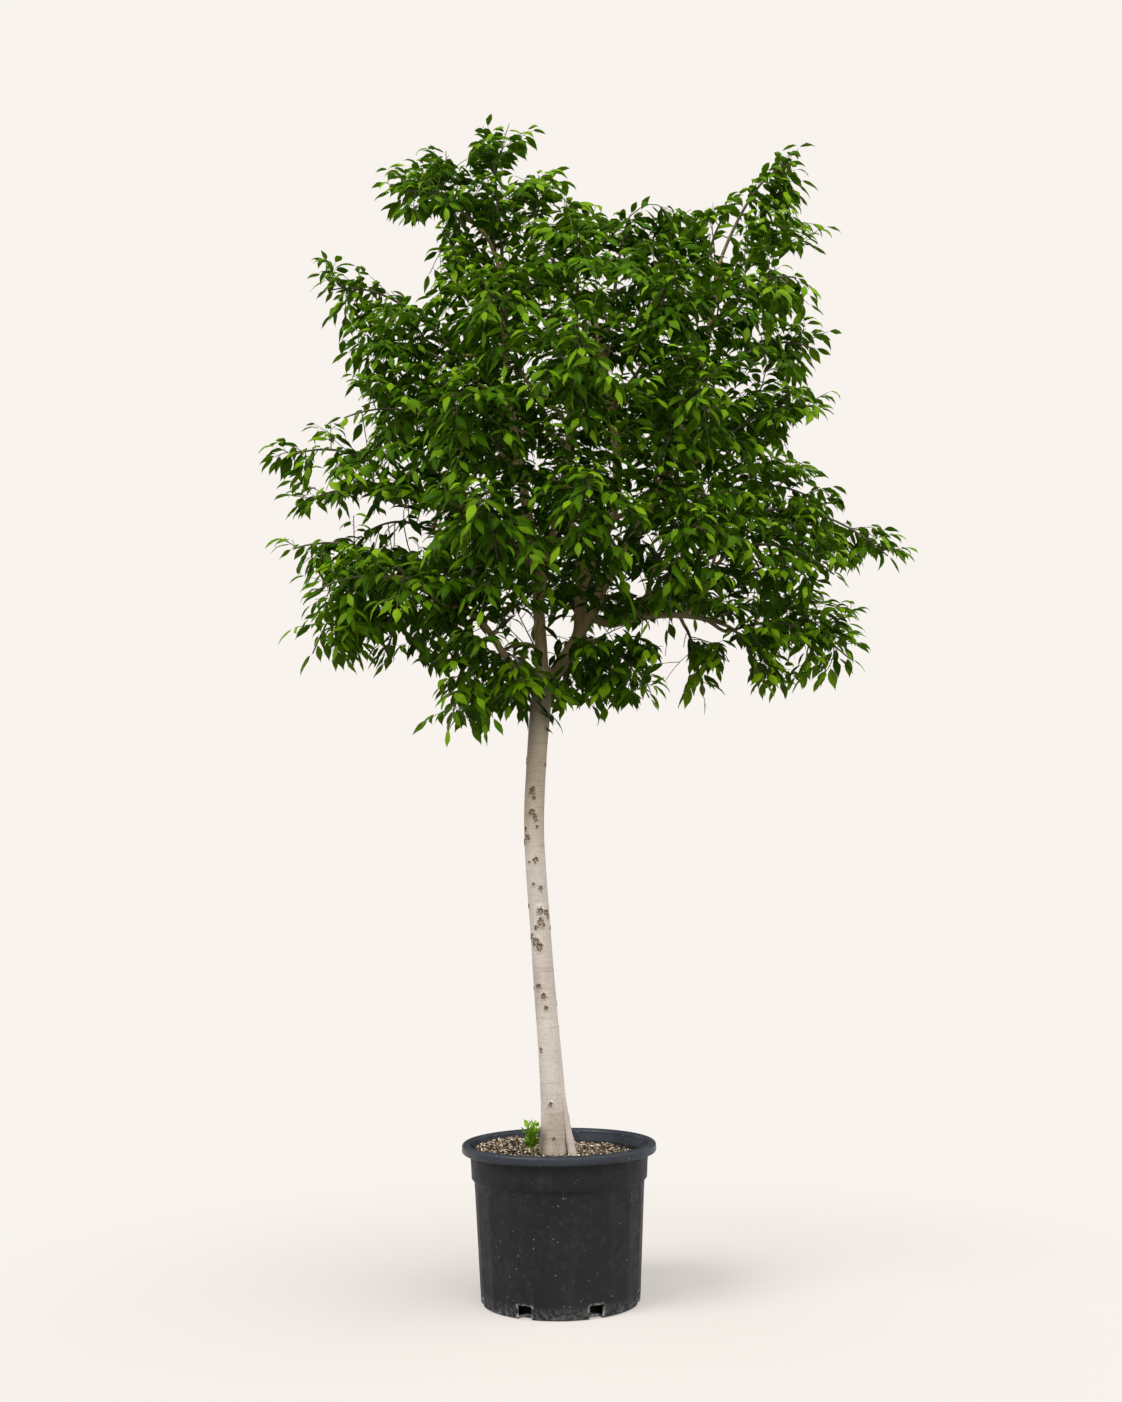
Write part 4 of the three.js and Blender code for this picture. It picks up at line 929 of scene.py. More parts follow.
def bark_material():
    """Smooth pale bark: broad stains, fine level rings, specks, brown scars, and bark that turns darker and
    browner towards the crown, its darkening painted shade from the crown.
    """
    graph = Material("pale_bark", 0.72, 0.3)
    height = graph.axis("Z", graph.place)
    broad = graph.noise(9, 5, (1.0, 1.0, 0.45))
    shades = (0.28, (0.36, 0.3, 0.24)), (0.5, (0.57, 0.505, 0.44)), (0.72, (0.72, 0.665, 0.6))
    # Partly painted shade: higher up, towards the crown, the bark turns darker, for the crown's shade, and
    # browner.
    dusky_painted_shade = graph.ramp(broad, (0.3, (0.4, 0.315, 0.22)), (0.7, (0.57, 0.47, 0.345)))
    high = graph.maths("MULTIPLY_ADD", height, 2.5, -2.2)
    aloft_painted_shade = graph.ramp(graph.maths("ADD", high, graph.times(broad, 0.3)), (0.15, 0.0), (0.75, 1.0))
    colour = graph.blend(aloft_painted_shade, graph.ramp(broad, *shades), dusky_painted_shade)
    inside = graph.ramp(graph.maths("SUBTRACT", height, 1.0), (0.27, 0.0), (0.42, 1.0))
    brown = graph.ramp(broad, (0.3, (0.31, 0.22, 0.08)), (0.7, (0.52, 0.4, 0.165)))
    colour = graph.blend(inside, colour, brown)
    rings = graph.noise(30, 4, (0.5, 0.5, 7.0))
    colour = graph.blend(graph.ramp(rings, (0.52, 0.0), (0.72, 0.3)), colour, (0.2, 0.14, 0.085))
    specks = graph.ramp(graph.spots(170), (0.1, 1.0), (0.22, 0.0))
    kept = graph.ramp(graph.noise(14, 3), (0.46, 0.0), (0.6, 0.75))
    colour = graph.blend(graph.times(specks, kept), colour, (0.12, 0.065, 0.03))
    grain = graph.ramp(graph.noise(420, 2), (0.35, 0.82), (0.65, 1.1))
    colour = graph.blend(1.0, colour, grain, "MULTIPLY")
    scar = graph.tone()
    ragged = graph.maths("MULTIPLY_ADD", scar, 0.36, graph.noise(300, 4))
    core = graph.ramp(scar, (0.02, 0.0), (0.15, 1.0), (0.8, 1.0), (1.0, 0.6))
    torn = graph.times(graph.ramp(ragged, (0.67, 0.0), (0.75, 1.0)), core)
    colour = graph.blend(torn, colour, (0.1, 0.048, 0.018))
    graph.paint(colour, graph.ramp(broad, (0.3, 0.8), (0.7, 0.62)))
    relief = graph.maths("MULTIPLY_ADD", rings, 0.8, graph.times(torn, -1.2))
    relief = graph.maths("MULTIPLY_ADD", graph.noise(260, 3), 0.35, relief)
    graph.bump(relief, 0.55, 0.0012)
    return graph.owner


def plastic_material(name, low, high, roughness, dusty):
    """Moulded black plastic with a cloudy film of dust, pale specks and worn edges."""
    graph = Material(name, roughness, 0.25)
    colour = graph.ramp(graph.noise(11, 6, roughness=0.65), (0.3, low), (0.75, high))
    film = graph.ramp(graph.noise(45, 5, (1.0, 1.0, 0.12)), (0.54, 0.0), (0.8, 0.7 * dusty))
    colour = graph.blend(film, colour, (0.15, 0.15, 0.145))
    dust = graph.ramp(graph.noise(70, 9, roughness=0.8), (0.52, 0.0), (0.72, 1.6 * dusty))
    colour = graph.blend(dust, colour, (0.17, 0.17, 0.17))
    specks = graph.ramp(graph.spots(80), (0.05, 1.0), (0.1, 0.0))
    kept = graph.ramp(graph.noise(23, 2), (0.5, 0.0), (0.56, 0.8))
    colour = graph.blend(graph.times(specks, kept), colour, (0.5, 0.49, 0.47))
    scuffed = graph.times(graph.tone(), graph.ramp(graph.noise(120, 5), (0.42, 0.0), (0.62, 1.0)))
    colour = graph.blend(graph.times(scuffed, 0.75), colour, (0.34, 0.33, 0.31))
    graph.paint(colour, graph.ramp(graph.noise(37, 5), (0.3, roughness - 0.08), (0.7, roughness + 0.1)))
    graph.bump(graph.noise(520, 2), 0.12, 0.0004)
    return graph.owner


def soil_material():
    """Dark crumbly peat."""
    graph = Material("dark_soil", 0.95, 0.2)
    grain = graph.noise(260, 6, roughness=0.7)
    shades = (0.35, (0.006, 0.0045, 0.004)), (0.55, (0.025, 0.017, 0.012)), (0.75, (0.1, 0.07, 0.045))
    graph.paint(graph.ramp(grain, *shades))
    graph.bump(grain, 0.9, 0.003)
    return graph.owner


def chip_material():
    """Bark chips from nearly black to tan, with fine fibres."""
    graph = Material("bark_chips", 0.85, 0.25)
    darker = (0.1, (0.012, 0.008, 0.006)), (0.4, (0.1, 0.065, 0.04))
    paler = (0.7, (0.36, 0.265, 0.175)), (1.0, (0.78, 0.65, 0.48))
    fibre = graph.ramp(graph.noise(420, 3, (1.0, 0.35, 1.0)), (0.35, 0.6), (0.65, 1.15))
    graph.paint(graph.blend(1.0, graph.ramp(graph.tone(), *darker, *paler), fibre, "MULTIPLY"))
    graph.bump(graph.noise(500, 3), 0.6, 0.001)
    return graph.owner


def floor_material():
    """Pale paper near the pot, which turns into the backdrop further out."""
    graph = Material("pale_floor", 0.9, 0.1)
    graph.paint(FLOOR_COLOUR)
    away = graph.node("ShaderNodeVectorMath", "Value", {0: graph.place}, operation="LENGTH")
    graph.show_with(graph.faded(away, FLOOR_EDGES, FLOOR_GLOW), graph.glow())
    return graph.owner


def backdrop_material():
    graph = Material("pale_backdrop")
    graph.show(graph.glow())
    return graph.owner


# The pot


def lathe_points(profile, sides):
    """Rows of points of a turned surface, one row for each (radius, height) of its profile."""
    radius, height = (column[:, None] for column in np.array(profile).T)
    turn = turns(sides)
    return np.stack([radius * np.cos(turn), radius * np.sin(turn), height + 0 * turn], axis=2)


def lathe_faces(rows, sides):
    here = np.arange(sides)
    there = np.roll(here, -1)
    return np.vstack([
        np.column_stack([here, there, there + sides, here + sides]) + row * sides for row in range(rows - 1)
    ])


def rounded(centre, radius, start, end, steps):
    """Points of an arc in (radius, height), from one angle to another in degrees."""
    angles = np.radians(np.linspace(start, end, steps))
    return [(centre[0] + radius * math.cos(a), centre[1] + radius * math.sin(a)) for a in angles]


def pot_profile():
    """The pot's wall in (radius, height): the underside, up the outside, over the lip and down inside."""
    rows = [(AXIS, 0.0), (0.08, 0.0), (BASE_RADIUS - EDGE_ROUND, 0.0)]
    rows += rounded((BASE_RADIUS - EDGE_ROUND, EDGE_ROUND), EDGE_ROUND, -60, 0, 4)
    lower = np.linspace(0.009, NOTCH_HEIGHT + 0.015, 13)
    upper = np.linspace(NOTCH_HEIGHT + 0.02, FLUTED_TO, 34)
    rows += [(mix(BASE_RADIUS, BODY_TOP_RADIUS, z / BODY_TOP), z) for z in [*lower, *upper]]
    rows += [  # the step out to the collar, the collar, and the lip's underside
        (BODY_TOP_RADIUS + 0.001, BODY_TOP - 0.003), (COLLAR_RADIUS - 0.0015, BODY_TOP - 0.0005),
        (COLLAR_RADIUS, BODY_TOP + 0.0015), (COLLAR_RADIUS + 0.0012, mix(BODY_TOP, LIP_UNDERSIDE, 0.5)),
        (COLLAR_RADIUS + 0.003, LIP_UNDERSIDE - 0.002), (COLLAR_RADIUS + 0.0045, LIP_UNDERSIDE),
    ]
    rows += rounded((RIM_RADIUS - EDGE_ROUND, LIP_UNDERSIDE + EDGE_ROUND), EDGE_ROUND, -90, 0, 6)
    rows.append((RIM_RADIUS - 0.0004, mix(LIP_UNDERSIDE, POT_HEIGHT, 0.5)))
    lip_radius = LIP_WIDTH / 2
    rows += rounded((RIM_RADIUS - lip_radius, POT_HEIGHT - lip_radius), lip_radius, *LIP_ARC, 12)
    return rows + [  # down the inside
        (RIM_RADIUS - LIP_WIDTH, LIP_UNDERSIDE + 0.4 * (POT_HEIGHT - LIP_UNDERSIDE)),
        (COLLAR_RADIUS - WALL + 0.0015, LIP_UNDERSIDE - 0.004), (COLLAR_RADIUS - WALL, BODY_TOP + 0.004),
        (BODY_TOP_RADIUS - WALL - FLUTE_DEPTH, FLUTED_TO),
        (BASE_RADIUS - WALL - FLUTE_DEPTH, FLOOR_THICKNESS), (AXIS, FLOOR_THICKNESS),
    ]


def notch_cutter():
    """The boxes that cut the slots through the foot of the pot's wall."""
    points = []
    radius = BASE_RADIUS - NOTCH_DEPTH / 2 + NOTCH_OVERRUN
    for k in range(NOTCHES):
        turn = NOTCH_TURN + 2 * math.pi * k / NOTCHES - math.pi / 2
        out = np.array([math.cos(turn), math.sin(turn), 0])
        across = np.array([-math.sin(turn), math.cos(turn), 0])
        for depth, side, up in BOX_CORNERS:
            flat = out * (radius + depth * NOTCH_DEPTH / 2) + across * (side * NOTCH_WIDTH / 2)
            points.append(flat + UP * (up * NOTCH_HEIGHT))
    return mesh_object("notches", points, box_faces(NOTCHES).tolist())


def notch_distance(x, y, z):
    """How far a point of the wall is from the nearest slot's edge, in metres."""
    turn = np.arctan2(y, x) + math.pi / 2 - NOTCH_TURN
    pitch = 2 * math.pi / NOTCHES
    aside = np.abs((turn + pitch / 2) % pitch - pitch / 2) * BASE_RADIUS - NOTCH_WIDTH / 2
    above = z - NOTCH_HEIGHT
    outside = np.hypot(np.maximum(aside, 0), np.maximum(above, 0))
    return np.where((aside > 0) | (above > 0), outside, 0)


def build_pot():
    """The turned pot with its flutes pressed in, its slots cut, its edges worn and painted sheen on its lip.
    """
    rows = np.array(pot_profile())
    points = lathe_points(rows, POT_SIDES)
    outside = mix(BASE_RADIUS, BODY_TOP_RADIUS, rows[:, 1] / BODY_TOP)
    fluted = (rows[:, 1] >= FLUTED_FROM) & (rows[:, 1] <= FLUTED_TO) & (rows[:, 0] > outside - 0.001)
    wave = np.clip(1.5 * (0.5 - 0.5 * np.cos(FLUTES * turns(POT_SIDES))) ** 0.8, 0, 1)
    top = FLUTED_TO - 0.002 - FLUTE_ARCH * (1 - wave)
    for k in np.flatnonzero(fluted):
        hollow = FLUTE_DEPTH * wave * np.clip((top - rows[k, 1]) / FLUTE_END, 0, 1)
        points[k, :, :2] *= (1 - hollow / rows[k, 0])[:, None]
    pot = mesh_object("pot_shell", points, lathe_faces(len(rows), POT_SIDES).tolist())
    cutter = notch_cutter()
    cut = pot.modifiers.new("slots", "BOOLEAN")
    cut.operation = "DIFFERENCE"
    cut.object = cutter
    cut.solver = "EXACT"
    applied(pot)
    bpy.data.objects.remove(cutter)
    mesh = pot.data
    x, y, z = vertex_places(mesh).T
    near_slot = 1.5 * np.clip(1 - notch_distance(x, y, z) / SLOT_WEAR, 0, 1)
    foot = 0.4 * np.clip(1 - z / FOOT_WEAR, 0, 1)
    set_tone(mesh, np.maximum(near_slot, foot) * (np.hypot(x, y) > BASE_RADIUS - 0.02))
    body = plastic_material("pot_plastic", (0.0045, 0.0052, 0.0068), (0.0105, 0.012, 0.0145), 0.6, 0.1)
    # Painted sheen: the lip is given a lighter, bluer colour than the body, for the sheen on its rounded top.
    lip = plastic_material("lip_plastic_painted_sheen", (0.018, 0.022, 0.03), (0.03, 0.036, 0.047), 0.42, 0.12)
    mesh.materials.append(body)
    mesh.materials.append(lip)
    slots = [int(face.center.z > LIP_UNDERSIDE - 0.001) for face in mesh.polygons]
    mesh.polygons.foreach_set("material_index", slots)
    set_smooth(mesh)
    mesh.update()
    return placed(pot, "pot", "pot")


# The soil, its chips and the seedling


def soil_height(x, y):
    """The soil's top: the solid's own slope and swell, and a dip in front of the trunk."""
    swell = SOIL_SWELL * np.sin(x / SOIL_WAVES[0] + 1) * np.cos(y / SOIL_WAVES[1])
    dip = np.interp(y, SOIL_DIP_EDGES, (SOIL_DIP, 0))
    return SOIL_HEIGHT + SOIL_SLOPE * x + swell - dip


def build_soil():
    bottom = FLOOR_THICKNESS + SOIL_GAP
    low = BASE_RADIUS - WALL - FLUTE_DEPTH - SOIL_GAP
    high = BODY_TOP_RADIUS - WALL - FLUTE_DEPTH - SOIL_GAP
    inside = BASE_RADIUS - NOTCH_DEPTH - NOTCH_OVERRUN
    notch_top = NOTCH_HEIGHT + SOIL_GAP
    profile = [(AXIS, bottom), (inside, bottom), (inside, notch_top), (low, notch_top), (high, FLUTED_TO)]
    side_rows = len(profile)
    profile += [(SOIL_RADIUS * k / SOIL_RINGS, SOIL_HEIGHT) for k in range(SOIL_RINGS, 0, -1)]
    profile.append((AXIS, SOIL_HEIGHT))
    points = lathe_points(profile, SOIL_SIDES).reshape(-1, 3)
    top = np.arange(len(points)) >= side_rows * SOIL_SIDES
    x, y = points[top, 0], points[top, 1]
    points[top, 2] = soil_height(x, y)
    for scale, seed, high in SOIL_LUMPS:
        points[top, 2] += high * noise_at(np.column_stack([x * scale, y * scale, np.full(len(x), seed)]))
    sheaf = Sheaf()
    sheaf.add(points, points[:, :2] / RIM_RADIUS, 0.5, [lathe_faces(len(profile), SOIL_SIDES)])
    return sheaf.piece("soil_mix", [soil_material()], "soil", "soil")


def build_chips():
    """Bark chips of many sizes, each an uneven flat splinter lying on the soil."""
    draw = np.random.default_rng(41)
    radius = SOIL_RADIUS * np.sqrt(draw.uniform(0, 1, CHIPS)) * 0.985
    turn = draw.uniform(0, 2 * math.pi, CHIPS)
    x, y = radius * np.cos(turn), radius * np.sin(turn)
    for middle_x, middle_y, least in CHIP_FREE:
        clear = np.hypot(x - middle_x, y - middle_y) > least
        x, y = x[clear], y[clear]
    n = len(x)
    length = mix(*CHIP_LENGTH, draw.beta(1.6, 2.4, n))
    width = length * draw.uniform(*CHIP_WIDTH, n)
    thick = length * draw.uniform(*CHIP_THICKNESS, n)
    height = soil_height(x, y) + draw.uniform(*CHIP_LEVELS, n) * CHIP_HEAP
    tone = np.clip(draw.normal(*CHIP_TONE, n), 0, 1)
    shapes = np.array(BOX_CORNERS)[None] * (1 + draw.uniform(*CHIP_UNEVEN, (n, 8, 3)))
    shapes *= 0.5 * np.stack([length, width, thick], axis=1)[:, None]
    heading = draw.uniform(0, 2 * math.pi, n)
    tip, lean = draw.normal(0, 0.35, n), draw.normal(0, 0.5, n)
    places = np.empty_like(shapes)
    for k in range(n):
        turned = Matrix.Rotation(heading[k], 3, "Z") @ Matrix.Rotation(tip[k], 3, "Y")
        turned = turned @ Matrix.Rotation(lean[k], 3, "X")
        places[k] = shapes[k] @ np.array(turned).T + (x[k], y[k], height[k])
    sheaf = Sheaf()
    points = places.reshape(-1, 3)
    sheaf.add(points, points[:, :2] / RIM_RADIUS, np.repeat(tone, 8), [box_faces(n)])
    chips = sheaf.piece("bark_chips", [chip_material()], "soil")
    set_smooth(chips.data, False)
    return chips


def build_seedling(leaf, stem):
    """A tuft of upright shoots with small opposite leaves in close pairs."""
    leafy = Foliage(77, paints_crown_shade=False, limpness=0.3, breadth=1.5)
    draw = np.random.default_rng(9)
    foot = np.array([*SEEDLING_PLACE, SEEDLING_FOOT])
    stub = bezier([foot - UP * 0.03, foot, foot + UP * 0.004], 0.0022, 0.002)
    add_tube(leafy, stub, 8, 4, slot=1, tone=0.9)
    for k in range(SEEDLING_SHOOTS):
        turn = 2 * math.pi * (k + 0.3) / SEEDLING_SHOOTS
        lean = SEEDLING_LEAN + SEEDLING_SWAY * chance(k, 5)
        out = np.array([math.cos(turn), math.sin(turn), 0])
        end = foot + out * lean + UP * (SEEDLING_HEIGHT + SEEDLING_SWAY * chance(k, 9))
        bend = foot + out * (0.8 * lean) + UP * (0.5 * SEEDLING_HEIGHT)
        shoot = bezier([foot, bend, end], 0.0014, 0.0009)
        add_tube(leafy, shoot, 6, 8, slot=1, tone=1.0)
        length = span(shoot)
        for pair in range(SEEDLING_PAIRS):
            share = 0.1 + 0.9 * pair / (SEEDLING_PAIRS - 1)
            centre, ahead, across, normal = twig_frames(shoot, length, 90 * pair, share * length, above=out)
            for side in (-1, 1):
                heading = unit(ahead * 1.2 + across * side)
                size = np.array([SEEDLING_LEAF * (1.15 - 0.3 * share)])
                tone = np.array([0.1 + 0.7 * share + draw.normal(0, 0.1)])
                leafy.rows.append((centre, heading, normal, tone, size, np.array([True]), np.array([0.0])))
    return leafy.piece("seedling_plant", [leaf, stem], "seedling", "seedling")


# The wood


SCARS = [  # x and z of the brown scars on the trunk's front and their radius, in millimetres
    (-52, 1085, 8), (-49, 1094, 5), (-47, 1072, 5), (-52, 1040, 8), (-46, 1030, 6), (-44, 1022, 5),
    (-62, 985, 8), (-41, 1008, 4), (-66, 1003, 5), (-45, 935, 7), (-58, 930, 3), (-50, 882, 4),
    (-34, 872, 6), (-60, 835, 5), (-36, 822, 9), (-24, 820, 7), (-20, 810, 5), (-35, 800, 8), (-30, 793, 5),
    (-44, 788, 5), (-12, 787, 4), (-54, 768, 7), (-46, 756, 10), (-38, 745, 9), (-40, 660, 7),
    (-30, 640, 6), (-25, 615, 5), (-37, 525, 6), (-17, 410, 5), (-12, 345, 4), (-42, 1315, 9),
    (-12, 1315, 9), (-32, 1293, 8), (-22, 1147, 5), (-18, 1196, 4),
]
SCARS_BEHIND = 16  # scars strewn round the rest of the trunk
WOOD_VOXEL = 0.0032
TRUNK_GRID = (40, 90)  # sides and rings of the trunk's tube
SUNK_GRID = (40, 4)  # and of its foot's
LEADER_SIDES = 16
SCAR_RIM = 0.0016  # how far a scar's rim swells, and its middle sinks
SCAR_PIT = 0.0014
SCAR_REACH = 2.2  # how far a scar moves the bark, in its own radii
SCAR_EDGE = 1.35  # and how far it stains it
WOOD_GROWN = 0.0006  # what the smoothing took off the wood
TRUNK_LUMPS = 0.0011
TRUNK_RINGS = 0.0002
LEADER_LUMPS = 0.0004
FOOT_SUNK = 0.02  # how deep the trunk's foot goes on in the soil
ROOT_FOOT = (38, -18, 272, 11)  # the air root's foot in the soil, as a row of AIR_ROOT
BRANCH_SIDES = 8
BRANCH_RINGS = 9


def scar_places():
    """Every scar's centre and radius: those of the front, and others drawn for the sides and back."""
    trunk = smooth_path(TRUNK)
    heights = [row[2] for row in TRUNK]
    places = []
    for x, z, radius in SCARS:
        row = trunk(np.interp(z, heights, np.linspace(0, 1, len(heights))))[0]
        aside = min(max((x * MM - row[0]) / row[3], -0.95), 0.95)
        depth = math.sqrt(1 - aside * aside)
        places.append((row[:3] + row[3] * np.array([aside, -depth, 0]), radius * MM))
    for k in range(SCARS_BEHIND):
        row = trunk(mix(0.1, 0.95, chance(k, 300)))[0]
        turn = math.radians(mix(-20, 200, chance(k, 301)))
        radius = mix(0.003, 0.007, chance(k, 302))
        places.append((row[:3] + row[3] * np.array([math.cos(turn), math.sin(turn), 0]), radius))
    return places


def build_wood(bark):
    """The trunk and the leaders grown together, with soft forks and scarred bark."""
    trunk = smooth_path(TRUNK)
    foot = trunk(0)[0]
    sunk = bezier([foot[:3] - UP * FOOT_SUNK, foot[:3] + UP * FOOT_SUNK], foot[3], foot[3])
    tubes = [(trunk, *TRUNK_GRID), (sunk, *SUNK_GRID)]
    tubes += [(smooth_path(rows), LEADER_SIDES, 8 * len(rows)) for rows in LEADERS.values()]
    sheaf = Sheaf()
    for path, sides, rings in tubes:
        add_tube(sheaf, path, sides, rings, closed_foot=True)
    wood = sheaf.object("trunk_and_leaders")
    remesh = wood.modifiers.new("grown_together", "REMESH")
    remesh.mode = "VOXEL"
    remesh.voxel_size = WOOD_VOXEL
    soften = wood.modifiers.new("soft_forks", "SMOOTH")
    soften.factor = 0.5
    soften.iterations = 5
    applied(wood)
    mesh = wood.data
    place = vertex_places(mesh)
    normal = np.empty(3 * len(place))
    mesh.vertex_normals.foreach_get("vector", normal)
    broad = noise_at(place * (26, 26, 9))
    rings = noise_at(place * (20, 20, 150))
    low = place[:, 2] < TRUNK[-1][2] * MM
    move = np.where(low, TRUNK_LUMPS * broad + TRUNK_RINGS * rings, LEADER_LUMPS * broad)
    scar = np.zeros(len(place))
    for centre, radius in scar_places():
        away = np.linalg.norm((place - centre) * (1, 1, 0.8), axis=1) / radius
        near = away < SCAR_REACH
        away = away[near]
        scar[near] = np.maximum(scar[near], np.clip(SCAR_EDGE - away, 0, 1))
        move[near] += SCAR_RIM * np.exp(-((away - 0.9) / 0.35) ** 2) - SCAR_PIT * np.exp(-((away / 0.5) ** 2))
    place += normal.reshape(-1, 3) * (move + WOOD_GROWN)[:, None]
    mesh.vertices.foreach_set("co", place.ravel())
    set_tone(mesh, scar)
    mesh.materials.append(bark)
    set_smooth(mesh)
    mesh.update()
    return placed(wood, "bark", "wood")


def build_air_root(bark):
    """The air root that stands beside the trunk's foot and runs up into it."""
    sheaf = Sheaf()
    path = smooth_path([ROOT_FOOT, *AIR_ROOT])

    def knotty(t):
        return 1 + 0.1 * math.sin(23 * t) * math.sin(61 * t + 1)

    add_tube(sheaf, path, 20, 60, tone=0.0, swell=knotty)
    return sheaf.piece("air_root", [bark], "bark")


def build_branches(bark, branches):
    sheaf = Sheaf()
    for k, path in enumerate(branches):
        def knotty(t, k=k):
            return 1 + 0.12 * math.sin(37 * t + 5 * chance(k, 80)) * chance(k, 81)

        add_tube(sheaf, path, BRANCH_SIDES, BRANCH_RINGS, tone=0.0, swell=knotty)
    return sheaf.piece("bare_branches", [bark], "bark")


# The boughs


def lateral_share(j):
    return mix(LATERALS_FROM, LATERALS_TO, (j + 0.5) / LATERALS)


def twig_path(start, heading, reach, bow, thick, thin):
    """A twig that sets off straight and bows down under its leaves."""
    bend = start + heading * (TWIG_BEND * reach)
    end = start + heading * (TWIG_REACH * reach) - UP * (bow * reach)
    return bezier([start, bend, end], thick * TWIG_RADIUS, thin * TWIG_RADIUS)


def lateral_path(curve, bough, j, spread, lift):
    """A side twig's path: it leaves the bough to one side, up or down, and bows down under its leaves."""
    share = lateral_share(j)
    start = point_at(curve, share)[0]
    ahead = ahead_at(curve, share)[0]
    level = unit(np.cross(UP, ahead)) * side_of(j)
    above = np.cross(ahead, level) * side_of(j)
    usual = (LATERAL_GROWTH * span(curve) + LATERAL_START) * (1 - LATERAL_TAPER * share)
    length = usual * mix(*LATERAL_RANGE, chance(bough, j))
    if j not in FIRST_LATERALS:
        length *= np.interp(outwardness(start), OUTER_EDGES, (1, OUTER_LENGTH))
    spread, lift = math.radians(spread), math.radians(lift)
    out = level * math.cos(lift) + above * math.sin(lift)
    heading = ahead * math.cos(spread) + out * math.sin(spread)
    return twig_path(start, heading, length, TWIG_BOW, 1, 0.6), length


def aim_laterals(curves):
    """Aims the side twigs of all boughs, one after another, each at the place that has the most room.

    Returns a list of side twigs for each bough, and the places that they and the boughs take.
    """
    taken = [place for curve in curves for place in point_at(curve, np.array(BOUGH_LEAVES))]
    laterals = [[] for _ in curves]
    later = [j for j in range(LATERALS) if j not in FIRST_LATERALS]
    for group in (FIRST_LATERALS, later):
        for bough, curve in enumerate(curves):
            for j in group:
                choices = []
                for spread in SPREADS:
                    for lift in LIFTS:
                        path, length = lateral_path(curve, bough, j, spread, lift)
                        middle = point_at(path, TWIG_MIDDLE)[0]
                        clear = np.linalg.norm(np.array(taken) - middle, axis=1).min()
                        room = clear - OUTSIDE_COST * max(outwardness(middle) - 1, 0)
                        if j not in FIRST_LATERALS:
                            room -= GAP_COST * missing(middle[None])[0]
                        choices.append((room, middle, path, length))
                room, middle, path, length = max(choices, key=lambda choice: choice[0])
                taken.append(middle)
                laterals[bough].append((j, path, length))
    return laterals, np.array(taken)


def twiglet(path, length, share, side, roll, key):
    """A short twig from the side of another, as (path, length)."""
    centre, ahead, across, normal = (v[0] for v in twig_frames(path, length, roll, share * length))
    reach = length * mix(*TWIGLET_LENGTH, chance(key, 7)) * (1.15 - 0.5 * share)
    spread = math.radians(mix(*TWIGLET_SPREAD, chance(key, 8)))
    lift = math.radians(mix(*TWIGLET_LIFT, chance(key, 9)))
    out = across * side * math.cos(lift) + normal * math.sin(lift)
    heading = ahead * math.cos(spread) + out * math.sin(spread)
    return twig_path(centre, heading, reach, SHORT_BOW, 0.8, 0.5), reach


def shoot_path(curve, share, side, key):
    """A short shoot that rises from the top of a bough's stem and leans outwards."""
    start = point_at(curve, share)[0]
    ahead = ahead_at(curve, share)[0]
    level = unit(np.cross(UP, ahead)) * side
    rise = 0.9 * (1 - max(ahead[2], 0))
    heading = unit(ahead + level * mix(*SHOOT_LEAN, chance(key, 11)) + UP * rise)
    length = mix(*SHOOT_LENGTH, chance(key, 12)) * (1.2 - 0.5 * share)
    end = start + (0.85 * heading + 0.2 * ahead) * length
    return bezier([start, start + heading * (0.5 * length), end], TWIG_RADIUS, 0.6 * TWIG_RADIUS), length


def build_bough(name, number, curve, laterals, leaf, twig):
    """One leafy bough: its stem, its side twigs, their own short twigs and the shoots on its stem."""
    leafy = Foliage(1000 + number)
    length = span(curve)
    shade = 0.3 + 0.22 * chance(number, 90)

    def roll(j):
        return TWIG_ROLL * (2 * chance(number, j + 40) - 1)

    leafy.twig(curve, length, roll(0), (6, 12), 0.15, shade, True, STEM_BARE * length, STEM_LOSS)
    for j, path, reach in laterals:
        if j not in FIRST_LATERALS and in_gap(path):
            continue
        leafy.twig(path, reach, roll(j), (4, 5), 0.45, shade, True, 0.1 * reach)
        for k, share in enumerate(TWIGLETS):
            short, run = twiglet(path, reach, share, side_of(k), roll(j), 100 * number + 10 * j + k)
            leafy.open_twig(short, run, roll(j), (3, 3), 0.6, shade - 0.04)
    for k, share in enumerate(SHOOTS):
        path, reach = shoot_path(curve, share, side_of(k), 10 * number + k)
        leafy.open_twig(path, reach, roll(k + 20), (3, 4), 0.6, shade + 0.05, bare=0.1 * reach)
    return leafy.piece("leafy_" + name, [leaf, twig], "leaf", "bough_" + name)


def build_inner_twigs(paths, leaf, twig):
    """Short leafy twigs along the bare wood inside the crown, in pieces that take the paths in turn."""
    draw = np.random.default_rng(5)
    for group in range(INNER_PIECES):
        leafy = Foliage(3000 + group)
        for path in paths[group::INNER_PIECES]:
            length = span(path)
            turn = draw.uniform(0, 2 * math.pi)
            for u in np.arange(0.5 * INNER_STEP, length, INNER_STEP):
                turn += INNER_TURN
                centre, ahead, across, normal = (v[0] for v in twig_frames(path, length, 0, u))
                if centre[2] < BARE_BELOW:
                    continue
                out = across * math.cos(turn) + normal * math.sin(turn)
                away = unit(centre - CROWN_MIDDLE)
                heading = unit(out + 0.5 * away + 0.4 * ahead + UP * 0.25)
                reach = mix(*INNER_LENGTH, draw.uniform())
                short = twig_path(centre, heading, reach, 1.3 * TWIG_BOW, 1, 0.6)
                roll = draw.uniform(-INNER_ROLL, INNER_ROLL)
                # Painted shade: these leaves get a tone of 0.3, as low as the darkest bough's, so that the
                # crown's inside looks dark.
                leafy.open_twig(short, reach, roll, (3, 4), 0.4, 0.3, bare=0.15 * reach, step=1.1 * LEAF_STEP)
        leafy.piece(f"inner_twigs_{group + 1}", [leaf, twig], "leaf")


